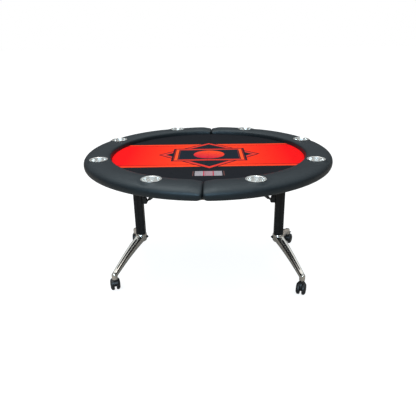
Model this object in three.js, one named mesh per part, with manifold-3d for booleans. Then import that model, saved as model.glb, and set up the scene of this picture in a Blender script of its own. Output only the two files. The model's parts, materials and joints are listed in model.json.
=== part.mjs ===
// Round folding poker table: two padded half-tops hinged at the centre, each carried by a column
// on a polished two-arm foot with twin-wheel casters. Millimetres, +Z up, origin on the floor
// below the middle of the top. Lifting the centre folds the halves down beside the columns.
import * as THREE from "three";
import { mergeVertices } from "three/addons/utils/BufferGeometryUtils.js";
import Module from "manifold-3d";

const wasm = await Module();
wasm.setup();

// ---------------------------------------------------------------- driving dimensions
const TOP_RADIUS = 686;
const RAIL_TOP = 749;
const RAIL_WIDTH = 148;
const RAIL_DEPTH = 65;
const UNDERSIDE = RAIL_TOP - RAIL_DEPTH;
const RAIL_INNER = TOP_RADIUS - RAIL_WIDTH;
const FIT_GAP = 0.3;

const BOARD_RADIUS = 652;
const PLAY_RADIUS = RAIL_INNER - 0.5;
const BASE_BOARD_THICK = 12;
const RAIL_BOARD_THICK = 18;
const CLOTH_TOP = 716.5;
const CLOTH_THICK = 4.5;
const SEAM_HALF_GAP = 0.6;
const RAIL_HALF_GAP = 2.5;
const RAIL_END_COVER = 8;
const SEAT_Z = UNDERSIDE + BASE_BOARD_THICK + FIT_GAP;
const ABOVE_ALL = 900;

const CUP_CIRCLE = 608;
const CUP_RADIUS = 42;
const CUP_WALL = 1.5;
const CUP_DEPTH = 50;
const CUP_FLANGE = 47.5;
const CUP_CORNER = 4;
const CUP_BORE_CLEARANCE = 1;
const CUP_ANGLES = [112.5, 157.5, 202.5, 247.5];

const COLUMN_X = 420;
const COLUMN_SIDE = 55;
const COLUMN_WALL = 4;
const COLUMN_CORNER = 9;
const GROOVE_HALF = 4;
const GROOVE_DEPTH = 2;
const COLUMN_BOTTOM = 222;
const COLUMN_TOP = 612;
const PIVOT_Z = UNDERSIDE - 36;
const PIVOT_PIN_R = 8;
const PIVOT_PIN_HEAD_R = 13;
const PIVOT_PIN_HEAD = 6;
const CENTRE_HINGE_Z = PIVOT_Z - 20;

const FRAME_RAIL_Y = 74.5;
const FRAME_RAIL_WIDE = 25;
const FRAME_RAIL_TALL = 40;
const FRAME_WALL = 2;
const FRAME_OUTER_X = 545;
const FRAME_INNER_X = 4;
const OUTER_BAR = { wide: 40, tall: 14 };
const INNER_BAR = { x0: -58, x1: -34, tall: 30 };
const LUG_HALF = 3;

const STRUT_FOOT = { x: 374, z: 430 };
const STRUT_HEAD = { x: 76, z: 662 };
const STRUT_Y = -12;
const STRUT_TUBE_R = 9.5;
const STRUT_BORE_R = 7.6;
const STRUT_TUBE_START = 22;
const STRUT_TUBE_END = 250;
const STRUT_ROD_R = 4.5;
const STRUT_PIN_R = 4;
const STRUT_EYE_R = 9;
const STRUT_EYE_HALF = 10;
const FORK_TINE_IN = 3.4;
const FORK_TINE_OUT = 8;

const HUB_BOTTOM = 168;
const HUB_TOP = 221.7;
const HUB_BOLT_Z = 196;
const HUB_BOLT_R = 4;
const HUB_FACE_X = -386.7;
const HUB_BOLT_TIP_X = -401.5;

const CASTER_X = 523;
const CASTER_Y = 302;
const WHEEL_R = 34;
const WHEEL_WIDE = 22;
const WHEEL_INNER = 5.5;
const CASTER_TRAIL = 17;
const SOCKET_R = 16.5;
const SOCKET_BOTTOM = 75;
const STEM_R = 5.5;
const STEM_TOP = 103;
const CASTER_HEADINGS = { left_front: 110, left_rear: 98, right_front: -108, right_rear: 65 };

const ROUND_STEPS = 64;
const CUP_STEPS = 16;
const SMALL_STEPS = 12;
const PIN_STEPS = 16;
const WHEEL_STEPS = 16;

// ---------------------------------------------------------------- finishes
const finish = (color, roughness, metalness) => new THREE.MeshStandardMaterial({ color, roughness, metalness });
const LEATHERETTE = finish(0x25282b, 0.45, 0.0);
const CLOTH = finish(0xd92a1c, 0.9, 0.0);
const PLYWOOD = finish(0xc9a878, 0.7, 0.0);
const STEEL_CUP = finish(0xc8cbce, 0.25, 1.0);
const BLACK_METAL = finish(0x16171a, 0.4, 0.6);
const POLISHED = finish(0xd8d5d0, 0.12, 1.0);
const ZINC = finish(0x9a9da1, 0.35, 1.0);
const BLACK_PLASTIC = finish(0x111214, 0.5, 0.0);

// ---------------------------------------------------------------- solid helpers

/** Closed manifold solid of a three.js geometry, turned right side out. */
function solid(geometry) {
  let bare = geometry.index ? geometry.toNonIndexed() : geometry.clone();
  bare.deleteAttribute("normal");
  bare.deleteAttribute("uv");
  bare = mergeVertices(bare, 1e-3);
  const p = bare.attributes.position;
  const corners = [];
  let volume = 0;
  for (let i = 0; i < bare.index.count; i += 3) {
    const [a, b, c] = [0, 1, 2].map((k) => bare.index.getX(i + k));
    if (a === b || b === c || a === c) continue;
    corners.push(a, b, c);
    const va = new THREE.Vector3().fromBufferAttribute(p, a);
    const vb = new THREE.Vector3().fromBufferAttribute(p, b);
    const vc = new THREE.Vector3().fromBufferAttribute(p, c);
    volume += va.dot(vb.cross(vc));
  }
  if (volume < 0) corners.reverse();
  return new wasm.Manifold(
    new wasm.Mesh({ numProp: 3, vertProperties: new Float32Array(p.array), triVerts: new Uint32Array(corners) }),
  );
}

/** three.js geometry of a manifold solid. */
function geometryOf(body) {
  const mesh = body.getMesh();
  const geometry = new THREE.BufferGeometry();
  geometry.setAttribute("position", new THREE.BufferAttribute(new Float32Array(mesh.vertProperties), 3));
  geometry.setIndex(new THREE.BufferAttribute(new Uint32Array(mesh.triVerts), 1));
  geometry.computeVertexNormals();
  return geometry;
}

const join = (...bodies) => bodies.reduce((whole, body) => whole.add(body));
const cut = (body, ...tools) => tools.reduce((rest, tool) => rest.subtract(tool), body);

/** Box between two corners. */
function block(x0, x1, y0, y1, z0, z1) {
  const box = new THREE.BoxGeometry(x1 - x0, y1 - y0, z1 - z0);
  return solid(box.translate((x0 + x1) / 2, (y0 + y1) / 2, (z0 + z1) / 2));
}

/** Solid of revolution about the vertical through (x, y); profile holds [radius, z] pairs. */
function turned(profile, x, y, steps) {
  const lathe = new THREE.LatheGeometry(profile.map(([r, z]) => new THREE.Vector2(r, z)), steps);
  return solid(lathe.rotateX(Math.PI / 2).translate(x, y, 0));
}

/** Solid of revolution about a line along Y through (x, z); profile holds [radius, y] pairs. */
function turnedAlongY(profile, x, z, steps) {
  const lathe = new THREE.LatheGeometry(profile.map(([r, y]) => new THREE.Vector2(r, y)), steps);
  return solid(lathe.translate(x, 0, z));
}

const pinProfile = (r, low, high) => [[0, low], [r, low], [r, high], [0, high]];
const ringProfile = (r0, r1, low, high) => [[r0, low], [r1, low], [r1, high], [r0, high], [r0, low]];
const post = (r, x, y, low, high, steps = SMALL_STEPS) => turned(pinProfile(r, low, high), x, y, steps);
const shaftY = (r, x, z, low, high, steps = SMALL_STEPS) => turnedAlongY(pinProfile(r, low, high), x, z, steps);

/** Solid of revolution about a line along X through (y, z) = (0, z); profile holds [radius, x] pairs. */
function turnedAlongX(profile, z, steps) {
  const lathe = new THREE.LatheGeometry(profile.map(([r, x]) => new THREE.Vector2(r, x)), steps);
  return solid(lathe.rotateZ(-Math.PI / 2).translate(0, 0, z));
}

/** Plate whose outline is drawn as a shape in X and Z, between two Y values. */
function plateXZ(shape, y0, y1) {
  const slab = new THREE.ExtrudeGeometry(shape, { depth: y1 - y0, bevelEnabled: false, curveSegments: 6 });
  return solid(slab.applyMatrix4(new THREE.Matrix4().set(1, 0, 0, 0, 0, 0, 1, y0, 0, 1, 0, 0, 0, 0, 0, 1)));
}

const polygon = (points) => new THREE.Shape(points.map(([x, z]) => new THREE.Vector2(x, z)));

/** Closed body through a row of rings that all have the same number of points. */
function loft(rings) {
  const count = rings[0].length;
  const positions = rings.flatMap((ring) => ring.flatMap((point) => point.toArray()));
  const corners = [];
  for (let row = 0; row + 1 < rings.length; row += 1) {
    for (let k = 0; k < count; k += 1) {
      const a = row * count + k;
      const b = row * count + ((k + 1) % count);
      corners.push(a, b, a + count, b, b + count, a + count);
    }
  }
  const last = (rings.length - 1) * count;
  for (let k = 1; k + 1 < count; k += 1) {
    corners.push(0, k + 1, k, last, last + k, last + k + 1);
  }
  const geometry = new THREE.BufferGeometry();
  geometry.setAttribute("position", new THREE.Float32BufferAttribute(positions, 3));
  geometry.setIndex(corners);
  return solid(geometry);
}

/** Named mesh of a solid. */
function piece(name, body, material) {
  const mesh = new THREE.Mesh(geometryOf(body), material);
  mesh.name = name;
  return mesh;
}

// ---------------------------------------------------------------- half-top
// Every half is modelled at x < 0; the right-hand one is the same half turned about Z.

const BEYOND = TOP_RADIUS + 20;
const halfOf = (body, gap) => body.intersect(block(-BEYOND, -gap, -BEYOND, BEYOND, 0, ABOVE_ALL));
const cupCentre = (degrees) => {
  const angle = THREE.MathUtils.degToRad(degrees);
  return [CUP_CIRCLE * Math.cos(angle), CUP_CIRCLE * Math.sin(angle)];
};

/** Points of a circular arc in the profile plane. */
function arc(r, z, radius, fromDegrees, toDegrees, steps) {
  return Array.from({ length: steps + 1 }, (_, i) => {
    const angle = THREE.MathUtils.degToRad(fromDegrees + ((toDegrees - fromDegrees) * i) / steps);
    return [r + radius * Math.cos(angle), z + radius * Math.sin(angle)];
  });
}

const RAIL_WOOD_INSET = 14;
const RAIL_WOOD_TOP = SEAT_Z + RAIL_BOARD_THICK;
const cupBores = (clearance, low) => CUP_ANGLES.map((degrees) =>
  post(CUP_RADIUS + clearance, ...cupCentre(degrees), low, ABOVE_ALL, CUP_STEPS));

/** Padded armrest: a soft roll wrapped over the plywood rail ring and its ends, with four cup bores. */
function railCushion() {
  const lipRound = 20;
  const outerRound = 34;
  const innerRound = 22;
  const lipIn = BOARD_RADIUS + FIT_GAP;
  const profile = [
    [lipIn, UNDERSIDE],
    ...arc(TOP_RADIUS - lipRound, UNDERSIDE + lipRound, lipRound, -90, 0, 2),
    ...arc(TOP_RADIUS - outerRound, RAIL_TOP - outerRound, outerRound, 0, 90, 4),
    ...arc(RAIL_INNER + innerRound, RAIL_TOP - innerRound, innerRound, 90, 180, 3),
    [RAIL_INNER, SEAT_Z],
    [lipIn, SEAT_Z],
    [lipIn, UNDERSIDE],
  ];
  const woodIn = RAIL_INNER + RAIL_WOOD_INSET - FIT_GAP;
  const pocketRing = turned(ringProfile(woodIn, lipIn, UNDERSIDE, RAIL_WOOD_TOP + FIT_GAP), 0, 0, ROUND_STEPS);
  const pocket = halfOf(pocketRing, RAIL_HALF_GAP + RAIL_END_COVER - FIT_GAP);
  const roll = halfOf(turned(profile, 0, 0, ROUND_STEPS), RAIL_HALF_GAP);
  return cut(roll, pocket, ...cupBores(CUP_BORE_CLEARANCE, UNDERSIDE));
}

/** Plywood ring inside the cushion, bored for the cups. */
function railBoard() {
  const profile = ringProfile(RAIL_INNER + RAIL_WOOD_INSET, BOARD_RADIUS, SEAT_Z, RAIL_WOOD_TOP);
  const ring = turned(profile, 0, 0, ROUND_STEPS);
  return cut(halfOf(ring, RAIL_HALF_GAP + RAIL_END_COVER), ...cupBores(1.5 * CUP_BORE_CLEARANCE, UNDERSIDE));
}

/** Half-round board between two heights. */
const halfBoard = (radius, low, high) => halfOf(post(radius, 0, 0, low, high, ROUND_STEPS), SEAM_HALF_GAP);

/** Drop-in cup: thin wall, flat bottom, flange lying on the rail. */
function cup(degrees) {
  const flangeLow = RAIL_TOP + FIT_GAP;
  const rim = flangeLow + CUP_WALL;
  const bottom = rim - CUP_DEPTH - CUP_WALL;
  const inner = CUP_RADIUS - CUP_WALL;
  const profile = [
    [0, bottom],
    [CUP_RADIUS - CUP_CORNER, bottom],
    [CUP_RADIUS, bottom + CUP_CORNER],
    [CUP_RADIUS, flangeLow],
    [CUP_FLANGE, flangeLow],
    [CUP_FLANGE, rim],
    [inner, rim],
    [inner, bottom + CUP_WALL + CUP_CORNER],
    [inner - CUP_CORNER, bottom + CUP_WALL],
    [0, bottom + CUP_WALL],
  ];
  return turned(profile, ...cupCentre(degrees), CUP_STEPS);
}

/** Welded steel frame under one half: two box rails, two cross bars and the strut lug. */
function subFrame() {
  const high = UNDERSIDE - FIT_GAP;
  const low = high - FRAME_RAIL_TALL;
  const half = FRAME_RAIL_WIDE / 2;
  const inY = FRAME_RAIL_Y - half;
  const rails = [-1, 1].map((end) => {
    const y = end * FRAME_RAIL_Y;
    const outer = block(-FRAME_OUTER_X, -FRAME_INNER_X, y - half, y + half, low, high);
    const w = FRAME_WALL;
    return cut(outer, block(-FRAME_OUTER_X - 5, 5, y - half + w, y + half - w, low + w, high - w));
  });
  const outerBar = block(-FRAME_OUTER_X, -FRAME_OUTER_X + OUTER_BAR.wide, -inY, inY, high - OUTER_BAR.tall, high);
  const innerBar = block(INNER_BAR.x0, INNER_BAR.x1, -inY, inY, high - INNER_BAR.tall, high);
  const { x, z } = STRUT_HEAD;
  const lug = join(
    shaftY(7.5, -x, z, STRUT_Y - LUG_HALF, STRUT_Y + LUG_HALF),
    plateXZ(
      polygon([[-x - 4, z + 6.3], [INNER_BAR.x0 + 1, high], [INNER_BAR.x0 + 1, z + 2], [-x + 3, z - 6.8]]),
      STRUT_Y - LUG_HALF,
      STRUT_Y + LUG_HALF,
    ),
  );
  const pinHole = shaftY(PIVOT_PIN_R + FIT_GAP, -COLUMN_X, PIVOT_Z, -100, 100);
  return cut(join(...rails, outerBar, innerBar, lug), pinHole);
}

/** Bolt through the frame rails and the sleeve on the column: the fold axis of this half. */
function columnPin() {
  const face = FRAME_RAIL_Y + FRAME_RAIL_WIDE / 2 + FIT_GAP;
  const head = face + PIVOT_PIN_HEAD;
  const profile = [
    [0, -head],
    [PIVOT_PIN_HEAD_R, -head],
    [PIVOT_PIN_HEAD_R, -face],
    [PIVOT_PIN_R, -face],
    [PIVOT_PIN_R, face],
    [PIVOT_PIN_HEAD_R, face],
    [PIVOT_PIN_HEAD_R, head],
    [0, head],
  ];
  return turnedAlongY(profile, -COLUMN_X, PIVOT_Z, SMALL_STEPS);
}

// ---------------------------------------------------------------- centre hinges

const HINGE_HALF = 20;
const LEAF_THICK = 3.5;
const LEAF_X = { near: 10, far: 66 };
const KNUCKLE_R = 8;
const KNUCKLE_SPLIT = 7;
const HINGE_PIN_R = 4;
const HINGE_PIN_HEAD_R = 6.5;
const HINGE_PIN_HEAD = 3;

/** One leaf of a centre hinge; sign -1 is the left leaf with the middle knuckle. */
function hingeLeaf(sign, y) {
  const plateHigh = UNDERSIDE - FIT_GAP - FRAME_RAIL_TALL - FIT_GAP;
  const plateLow = plateHigh - LEAF_THICK;
  const split = KNUCKLE_SPLIT + FIT_GAP;
  const spans = sign < 0 ? [[-KNUCKLE_SPLIT, KNUCKLE_SPLIT]] : [[-HINGE_HALF, -split], [split, HINGE_HALF]];
  const [x0, x1] = sign < 0 ? [-LEAF_X.far, -LEAF_X.near] : [LEAF_X.near, LEAF_X.far];
  const plate = block(x0, x1, y - HINGE_HALF, y + HINGE_HALF, plateLow, plateHigh);
  const webOutline = polygon([
    [sign * 14, plateHigh],
    [sign * 14, plateLow],
    [sign * 7.5, CENTRE_HINGE_Z],
    [0, plateHigh - KNUCKLE_R],
    [sign * 6, plateHigh],
  ]);
  const knuckles = spans.map(([a, b]) =>
    join(plateXZ(webOutline, y + a, y + b), shaftY(KNUCKLE_R, 0, CENTRE_HINGE_Z, y + a, y + b)));
  const bore = shaftY(HINGE_PIN_R + FIT_GAP, 0, CENTRE_HINGE_Z, y - 2 * HINGE_HALF, y + 2 * HINGE_HALF);
  return cut(join(plate, ...knuckles), bore);
}

/** Hinge pin with a head at each end. */
function hingePin(y) {
  const face = HINGE_HALF + FIT_GAP;
  const head = face + HINGE_PIN_HEAD;
  const profile = [
    [0, y - head],
    [HINGE_PIN_HEAD_R, y - head],
    [HINGE_PIN_HEAD_R, y - face],
    [HINGE_PIN_R, y - face],
    [HINGE_PIN_R, y + face],
    [HINGE_PIN_HEAD_R, y + face],
    [HINGE_PIN_HEAD_R, y + head],
    [0, y + head],
  ];
  return turnedAlongY(profile, 0, CENTRE_HINGE_Z, PIN_STEPS);
}

// ---------------------------------------------------------------- column and foot

/** Outline of the column: a rounded square with a shallow groove in each face. */
function columnSection() {
  const half = COLUMN_SIDE / 2;
  const centre = half - COLUMN_CORNER;
  const corner = [0, 45, 90].map((degrees) => {
    const angle = THREE.MathUtils.degToRad(degrees);
    return [centre + COLUMN_CORNER * Math.cos(angle), centre + COLUMN_CORNER * Math.sin(angle)];
  });
  const floor = half - GROOVE_DEPTH;
  const groove = [[GROOVE_HALF, half], [GROOVE_HALF - 1, floor], [1 - GROOVE_HALF, floor], [-GROOVE_HALF, half]];
  const quarterTurns = [0, 1, 2, 3].map((k) => (k * Math.PI) / 2);
  return polygon(quarterTurns.flatMap((turn) => [...corner, ...groove].map(([x, y]) => [
    x * Math.cos(turn) - y * Math.sin(turn),
    x * Math.sin(turn) + y * Math.cos(turn),
  ])));
}

/** Extruded column with a groove down each face, open at both ends. */
function column() {
  const depth = COLUMN_TOP - COLUMN_BOTTOM;
  const extrusion = new THREE.ExtrudeGeometry(columnSection(), { depth, bevelEnabled: false });
  const inner = COLUMN_SIDE / 2 - COLUMN_WALL;
  const core = block(-COLUMN_X - inner, -COLUMN_X + inner, -inner, inner, COLUMN_BOTTOM - 5, COLUMN_TOP + 5);
  return cut(solid(extrusion.translate(-COLUMN_X, 0, COLUMN_BOTTOM)), core);
}

const SPIGOT_HALF = COLUMN_SIDE / 2 - COLUMN_WALL - FIT_GAP;
const SPIGOT_REACH = 32;
const SLEEVE_R = 19;
const SLEEVE_SIDE_GAP = 2.5;
const NECK = { halfX: 25, halfY: 26 };
const spigot = (low, high) =>
  block(-COLUMN_X - SPIGOT_HALF, -COLUMN_X + SPIGOT_HALF, -SPIGOT_HALF, SPIGOT_HALF, low, high);

/** Cast head: a cross sleeve for the fold pin on a neck that plugs into the column. */
function columnHead() {
  const reach = FRAME_RAIL_Y - FRAME_RAIL_WIDE / 2 - SLEEVE_SIDE_GAP;
  const neckLow = COLUMN_TOP + FIT_GAP;
  const body = join(
    shaftY(SLEEVE_R, -COLUMN_X, PIVOT_Z, -reach, reach, PIN_STEPS),
    block(-COLUMN_X - NECK.halfX, -COLUMN_X + NECK.halfX, -NECK.halfY, NECK.halfY, neckLow, PIVOT_Z - 8),
    spigot(COLUMN_TOP - SPIGOT_REACH, neckLow + 2),
  );
  return cut(body, shaftY(PIVOT_PIN_R + FIT_GAP, -COLUMN_X, PIVOT_Z, -2 * reach, 2 * reach));
}

const ARM = {
  plan: Math.hypot(CASTER_X - COLUMN_X, CASTER_Y),
  hub: { wide: 56, tall: 44, z: 193 },
  tip: { wide: 31, tall: 27, z: 98 },
  bow: 9,
  chamfer: 6,
  stations: 6,
};
const INLAY = { from: 0.17, to: 0.91, widthShare: 0.14, proud: 0.4, deep: 3, chamfer: 0.4 };
const armWidth = (t) => THREE.MathUtils.lerp(ARM.hub.wide, ARM.tip.wide, t);
const armHeight = (t) => THREE.MathUtils.lerp(ARM.hub.tall, ARM.tip.tall, t);
const armMiddle = (t) => THREE.MathUtils.lerp(ARM.hub.z, ARM.tip.z, t) + ARM.bow * Math.sin(Math.PI * t);

/** Ring across a foot arm at t (0 at the hub, 1 at the socket); low and high are heights above its middle. */
function armRing(end, t, halfWidth, low, high, chamfer) {
  const along = new THREE.Vector3(-(CASTER_X - COLUMN_X) / ARM.plan, (end * CASTER_Y) / ARM.plan, 0);
  const across = new THREE.Vector3(-along.y, along.x, 0);
  const middle = along.clone().multiplyScalar(ARM.plan * t).add(new THREE.Vector3(-COLUMN_X, 0, armMiddle(t)));
  const outline = [
    [-halfWidth, low + chamfer],
    [-halfWidth + chamfer, low],
    [halfWidth - chamfer, low],
    [halfWidth, low + chamfer],
    [halfWidth, high - chamfer],
    [halfWidth - chamfer, high],
    [-halfWidth + chamfer, high],
    [-halfWidth, high - chamfer],
  ];
  return outline.map(([s, up]) => middle.clone().addScaledVector(across, s).add(new THREE.Vector3(0, 0, up)));
}

const stationsBetween = (t0, t1, count) => Array.from({ length: count + 1 }, (_, i) => t0 + ((t1 - t0) * i) / count);
const arm = (end) => loft(stationsBetween(0, 1, ARM.stations)
  .map((t) => armRing(end, t, armWidth(t) / 2, -armHeight(t) / 2, armHeight(t) / 2, ARM.chamfer)));

/** Strip let into the top of an arm; grow widens it into the groove that holds it. */
function armStrip(end, grow) {
  const from = INLAY.from - grow / ARM.plan;
  const to = INLAY.to + grow / ARM.plan;
  return loft(stationsBetween(from, to, ARM.stations).map((t) => {
    const top = armHeight(t) / 2;
    const low = top - INLAY.deep - grow;
    const high = top + INLAY.proud + 3 * grow;
    return armRing(end, t, armWidth(t) * INLAY.widthShare + grow, low, high, INLAY.chamfer);
  }));
}

/** Polished casting: hub, spigot, two arms and the caster sockets. */
function foot() {
  const hubProfile = [
    [0, HUB_BOTTOM],
    [25, HUB_BOTTOM],
    [33, HUB_BOTTOM + 10],
    [33, HUB_TOP - 7.7],
    [29, HUB_TOP],
    [0, HUB_TOP],
  ];
  const hub = turned(hubProfile, -COLUMN_X, 0, WHEEL_STEPS);
  const ends = [-1, 1];
  const socketProfile = [[0, SOCKET_BOTTOM], [SOCKET_R, SOCKET_BOTTOM], [SOCKET_R, 106], [13, 112.5], [0, 113.5]];
  const sockets = ends.map((end) => turned(socketProfile, -CASTER_X, end * CASTER_Y, PIN_STEPS));
  const stemHole = (end) => post(STEM_R + FIT_GAP, -CASTER_X, end * CASTER_Y, SOCKET_BOTTOM - 15, STEM_TOP + 1);
  const boltProfile = pinProfile(HUB_BOLT_R + FIT_GAP, HUB_BOLT_TIP_X - 0.5, HUB_FACE_X + 16);
  const grooves = ends.map((end) => armStrip(end, FIT_GAP));
  const casting = join(hub, spigot(HUB_TOP - 12, HUB_TOP + 40), ...ends.map(arm), ...sockets);
  return cut(casting, ...grooves, ...ends.map(stemHole), turnedAlongX(boltProfile, HUB_BOLT_Z, PIN_STEPS));
}

/** Bolt that clamps the column's spigot, seen on the inner side of the hub. */
function hubBolt() {
  const headR = 7;
  const profile = [
    [0, HUB_BOLT_TIP_X],
    [HUB_BOLT_R, HUB_BOLT_TIP_X],
    [HUB_BOLT_R, HUB_FACE_X],
    [headR, HUB_FACE_X],
    [headR, HUB_FACE_X + 7.7],
    [headR - 2, HUB_FACE_X + 9.7],
    [0, HUB_FACE_X + 9.7],
  ];
  return turnedAlongX(profile, HUB_BOLT_Z, PIN_STEPS);
}

// ---------------------------------------------------------------- strut

/** Bracket on the column's inner face that carries the strut's lower eye. */
function strutBracket() {
  const { x, z } = STRUT_FOOT;
  const face = -COLUMN_X + COLUMN_SIDE / 2 + FIT_GAP;
  const thick = 3;
  const cheekIn = STRUT_EYE_HALF + 0.5;
  const plate = block(face, face + thick, -15.7, 15.7, z - 12, z + 36);
  const outline = [
    [face + 1, z + 34],
    [-x + 2, z + 28],
    [-x + 10, z + 4],
    [-x + 10, z - 6],
    [-x + 3, z - 10],
    [face + 1, z - 10],
  ];
  const cheeks = [cheekIn, -cheekIn - thick].map((y) => plateXZ(polygon(outline), y, y + thick));
  const pinReach = cheekIn + thick + 2;
  return join(plate, ...cheeks, shaftY(STRUT_PIN_R, -x, z, -pinReach, pinReach)).translate([0, STRUT_Y, 0]);
}

const strutVector = new THREE.Vector2(STRUT_FOOT.x - STRUT_HEAD.x, STRUT_HEAD.z - STRUT_FOOT.z);
const STRUT_LENGTH = strutVector.length();

/** Gas tube along +X from its eye at the origin. */
function strutTube() {
  const tube = turnedAlongX(pinProfile(STRUT_TUBE_R, STRUT_TUBE_START, STRUT_TUBE_END), 0, PIN_STEPS);
  const bore = turnedAlongX(pinProfile(STRUT_BORE_R, STRUT_TUBE_START + 10, STRUT_TUBE_END - 7), 0, SMALL_STEPS);
  const gland = turnedAlongX(
    pinProfile(STRUT_ROD_R + FIT_GAP, STRUT_TUBE_END - 10, STRUT_TUBE_END + 10), 0, SMALL_STEPS);
  const eye = join(
    shaftY(STRUT_EYE_R, 0, 0, -STRUT_EYE_HALF, STRUT_EYE_HALF),
    block(STRUT_PIN_R, STRUT_TUBE_START + 2, -5, 5, -5, 5),
  );
  const eyeBore = shaftY(STRUT_PIN_R + FIT_GAP, 0, 0, -2 * STRUT_EYE_HALF, 2 * STRUT_EYE_HALF);
  return cut(join(tube, eye), bore, gland, eyeBore);
}

/** Piston rod along +X with its fork at the far end. */
function strutRod() {
  const end = STRUT_LENGTH;
  const pistonStart = 44;
  const rod = turnedAlongX(pinProfile(STRUT_ROD_R, pistonStart + 2, end - 12), 0, SMALL_STEPS);
  const piston = turnedAlongX(pinProfile(STRUT_BORE_R - 0.4, pistonStart, pistonStart + 14), 0, SMALL_STEPS);
  const forkBlock = block(end - 18, end + 9, -FORK_TINE_OUT, FORK_TINE_OUT, -7.5, 7.5);
  const slot = block(end - 9.5, end + 12, -FORK_TINE_IN, FORK_TINE_IN, -9, 9);
  const rivetOut = FORK_TINE_OUT + 2.5;
  const rivets = [
    shaftY(5, end, 0, FORK_TINE_OUT - 0.1, rivetOut),
    shaftY(5, end, 0, -rivetOut, -FORK_TINE_OUT + 0.1),
  ];
  return join(rod, piston, cut(forkBlock, slot), ...rivets);
}

// ---------------------------------------------------------------- casters
// A caster is modelled round its stem at the origin, with the wheels trailing towards +X.

const WEB_HALF = WHEEL_INNER - 1;
const COLLAR_R = 14;
const COLLAR_BOTTOM = 68.6;
const AXLE_R = 4;
const FENDER = { low: 2, high: 5.2, halfWide: 17, from: 80, to: 165 };
const LEVER_PIN = { x: CASTER_TRAIL + 13, z: WHEEL_R + 37.5 };
const LEVER_PIN_R = 2;
const LEVER_POST_HALF = 3;
const LEVER_HALF = 12;

/** Fender over the wheels, as a band round the axle. */
function fender() {
  const shape = new THREE.Shape();
  const [a0, a1] = [FENDER.from, FENDER.to].map(THREE.MathUtils.degToRad);
  shape.absarc(CASTER_TRAIL, WHEEL_R, WHEEL_R + FENDER.high, a0, a1, false);
  shape.absarc(CASTER_TRAIL, WHEEL_R, WHEEL_R + FENDER.low, a1, a0, true);
  return plateXZ(shape, -FENDER.halfWide, FENDER.halfWide);
}

/** Stem, collar, web between the wheels, fender and axle. */
function casterBody(hasLever) {
  const webOutline = [[-13, 72], [12, 72], [26, 66], [38, 40], [24, 18], [8, 18], [-4, 36]];
  const axleHalf = WHEEL_INNER + WHEEL_WIDE - 2.5;
  const parts = [
    post(STEM_R, 0, 0, COLLAR_BOTTOM - 2, STEM_TOP, 8),
    post(COLLAR_R, 0, 0, COLLAR_BOTTOM, SOCKET_BOTTOM - FIT_GAP, 12),
    plateXZ(polygon(webOutline), -WEB_HALF, WEB_HALF),
    fender(),
    shaftY(AXLE_R, CASTER_TRAIL, WHEEL_R, -axleHalf, axleHalf, 8),
  ];
  if (hasLever) {
    const { x, z } = LEVER_PIN;
    const postOutline = [[x - 10, z - 11.5], [x, z - 16.5], [x + 3.5, z - 1.5], [x - 3.5, z + 1.5]];
    const pinReach = LEVER_HALF + 1;
    parts.push(shaftY(2 * LEVER_PIN_R, x, z, -LEVER_POST_HALF, LEVER_POST_HALF, 8));
    parts.push(shaftY(LEVER_PIN_R, x, z, -pinReach, pinReach, 8));
    parts.push(plateXZ(polygon(postOutline), -LEVER_POST_HALF, LEVER_POST_HALF));
  }
  return join(...parts);
}

/** Foot lever that rocks on its pin and presses on the tyres. */
function brakeLever() {
  const { x, z } = LEVER_PIN;
  const outline = [
    [x - 3.5, z + 3.5],
    [x + 10, z + 4],
    [x + 27, z - 2],
    [x + 28, z - 6],
    [x + 10, z - 1.5],
    [x - 1, z - 4],
    [x - 4, z - 1],
  ];
  const slotHalf = LEVER_POST_HALF + 0.4;
  const slot = block(x - 8, x + 7.5, -slotHalf, slotHalf, z - 9, z + 9);
  const pinHole = shaftY(LEVER_PIN_R + FIT_GAP, x, z, -2 * LEVER_HALF, 2 * LEVER_HALF, 8);
  return cut(plateXZ(polygon(outline), -LEVER_HALF, LEVER_HALF), slot, pinHole);
}

/** Domed wheel with a blind bore; side is -1 or 1 along Y. */
function wheel(side) {
  const outer = WHEEL_INNER + WHEEL_WIDE;
  const boreR = AXLE_R + FIT_GAP;
  const boreEnd = outer - 2.2;
  const profile = [
    [0, outer + 0.5],
    [WHEEL_R - 12, outer - 1],
    [WHEEL_R - 3.5, outer - 5],
    [WHEEL_R, outer - 11],
    [WHEEL_R, WHEEL_INNER + 5],
    [WHEEL_R - 2.5, WHEEL_INNER + 0.5],
    [boreR, WHEEL_INNER],
    [boreR, boreEnd],
    [0, boreEnd],
  ];
  return turnedAlongY(profile.map(([radius, y]) => [radius, side * y]), CASTER_TRAIL, WHEEL_R, WHEEL_STEPS);
}

/** Caster group at a socket of this half. */
function caster(side, end, local, turn) {
  const name = `${side}_${end}`;
  const group = new THREE.Group();
  const hasLever = local < 0 && end === (side === "left" ? "front" : "rear");
  group.position.set(-CASTER_X, local * CASTER_Y, 0);
  group.rotation.z = THREE.MathUtils.degToRad(CASTER_HEADINGS[name]) - turn;
  group.add(piece(`${name}_caster_body`, casterBody(hasLever), BLACK_PLASTIC));
  group.add(piece(`${name}_wheel_a`, wheel(-1), BLACK_PLASTIC));
  group.add(piece(`${name}_wheel_b`, wheel(1), BLACK_PLASTIC));
  if (hasLever) {
    group.add(piece(`${name}_brake_lever`, brakeLever(), BLACK_PLASTIC));
  }
  return group;
}

// ---------------------------------------------------------------- assembly

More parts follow.
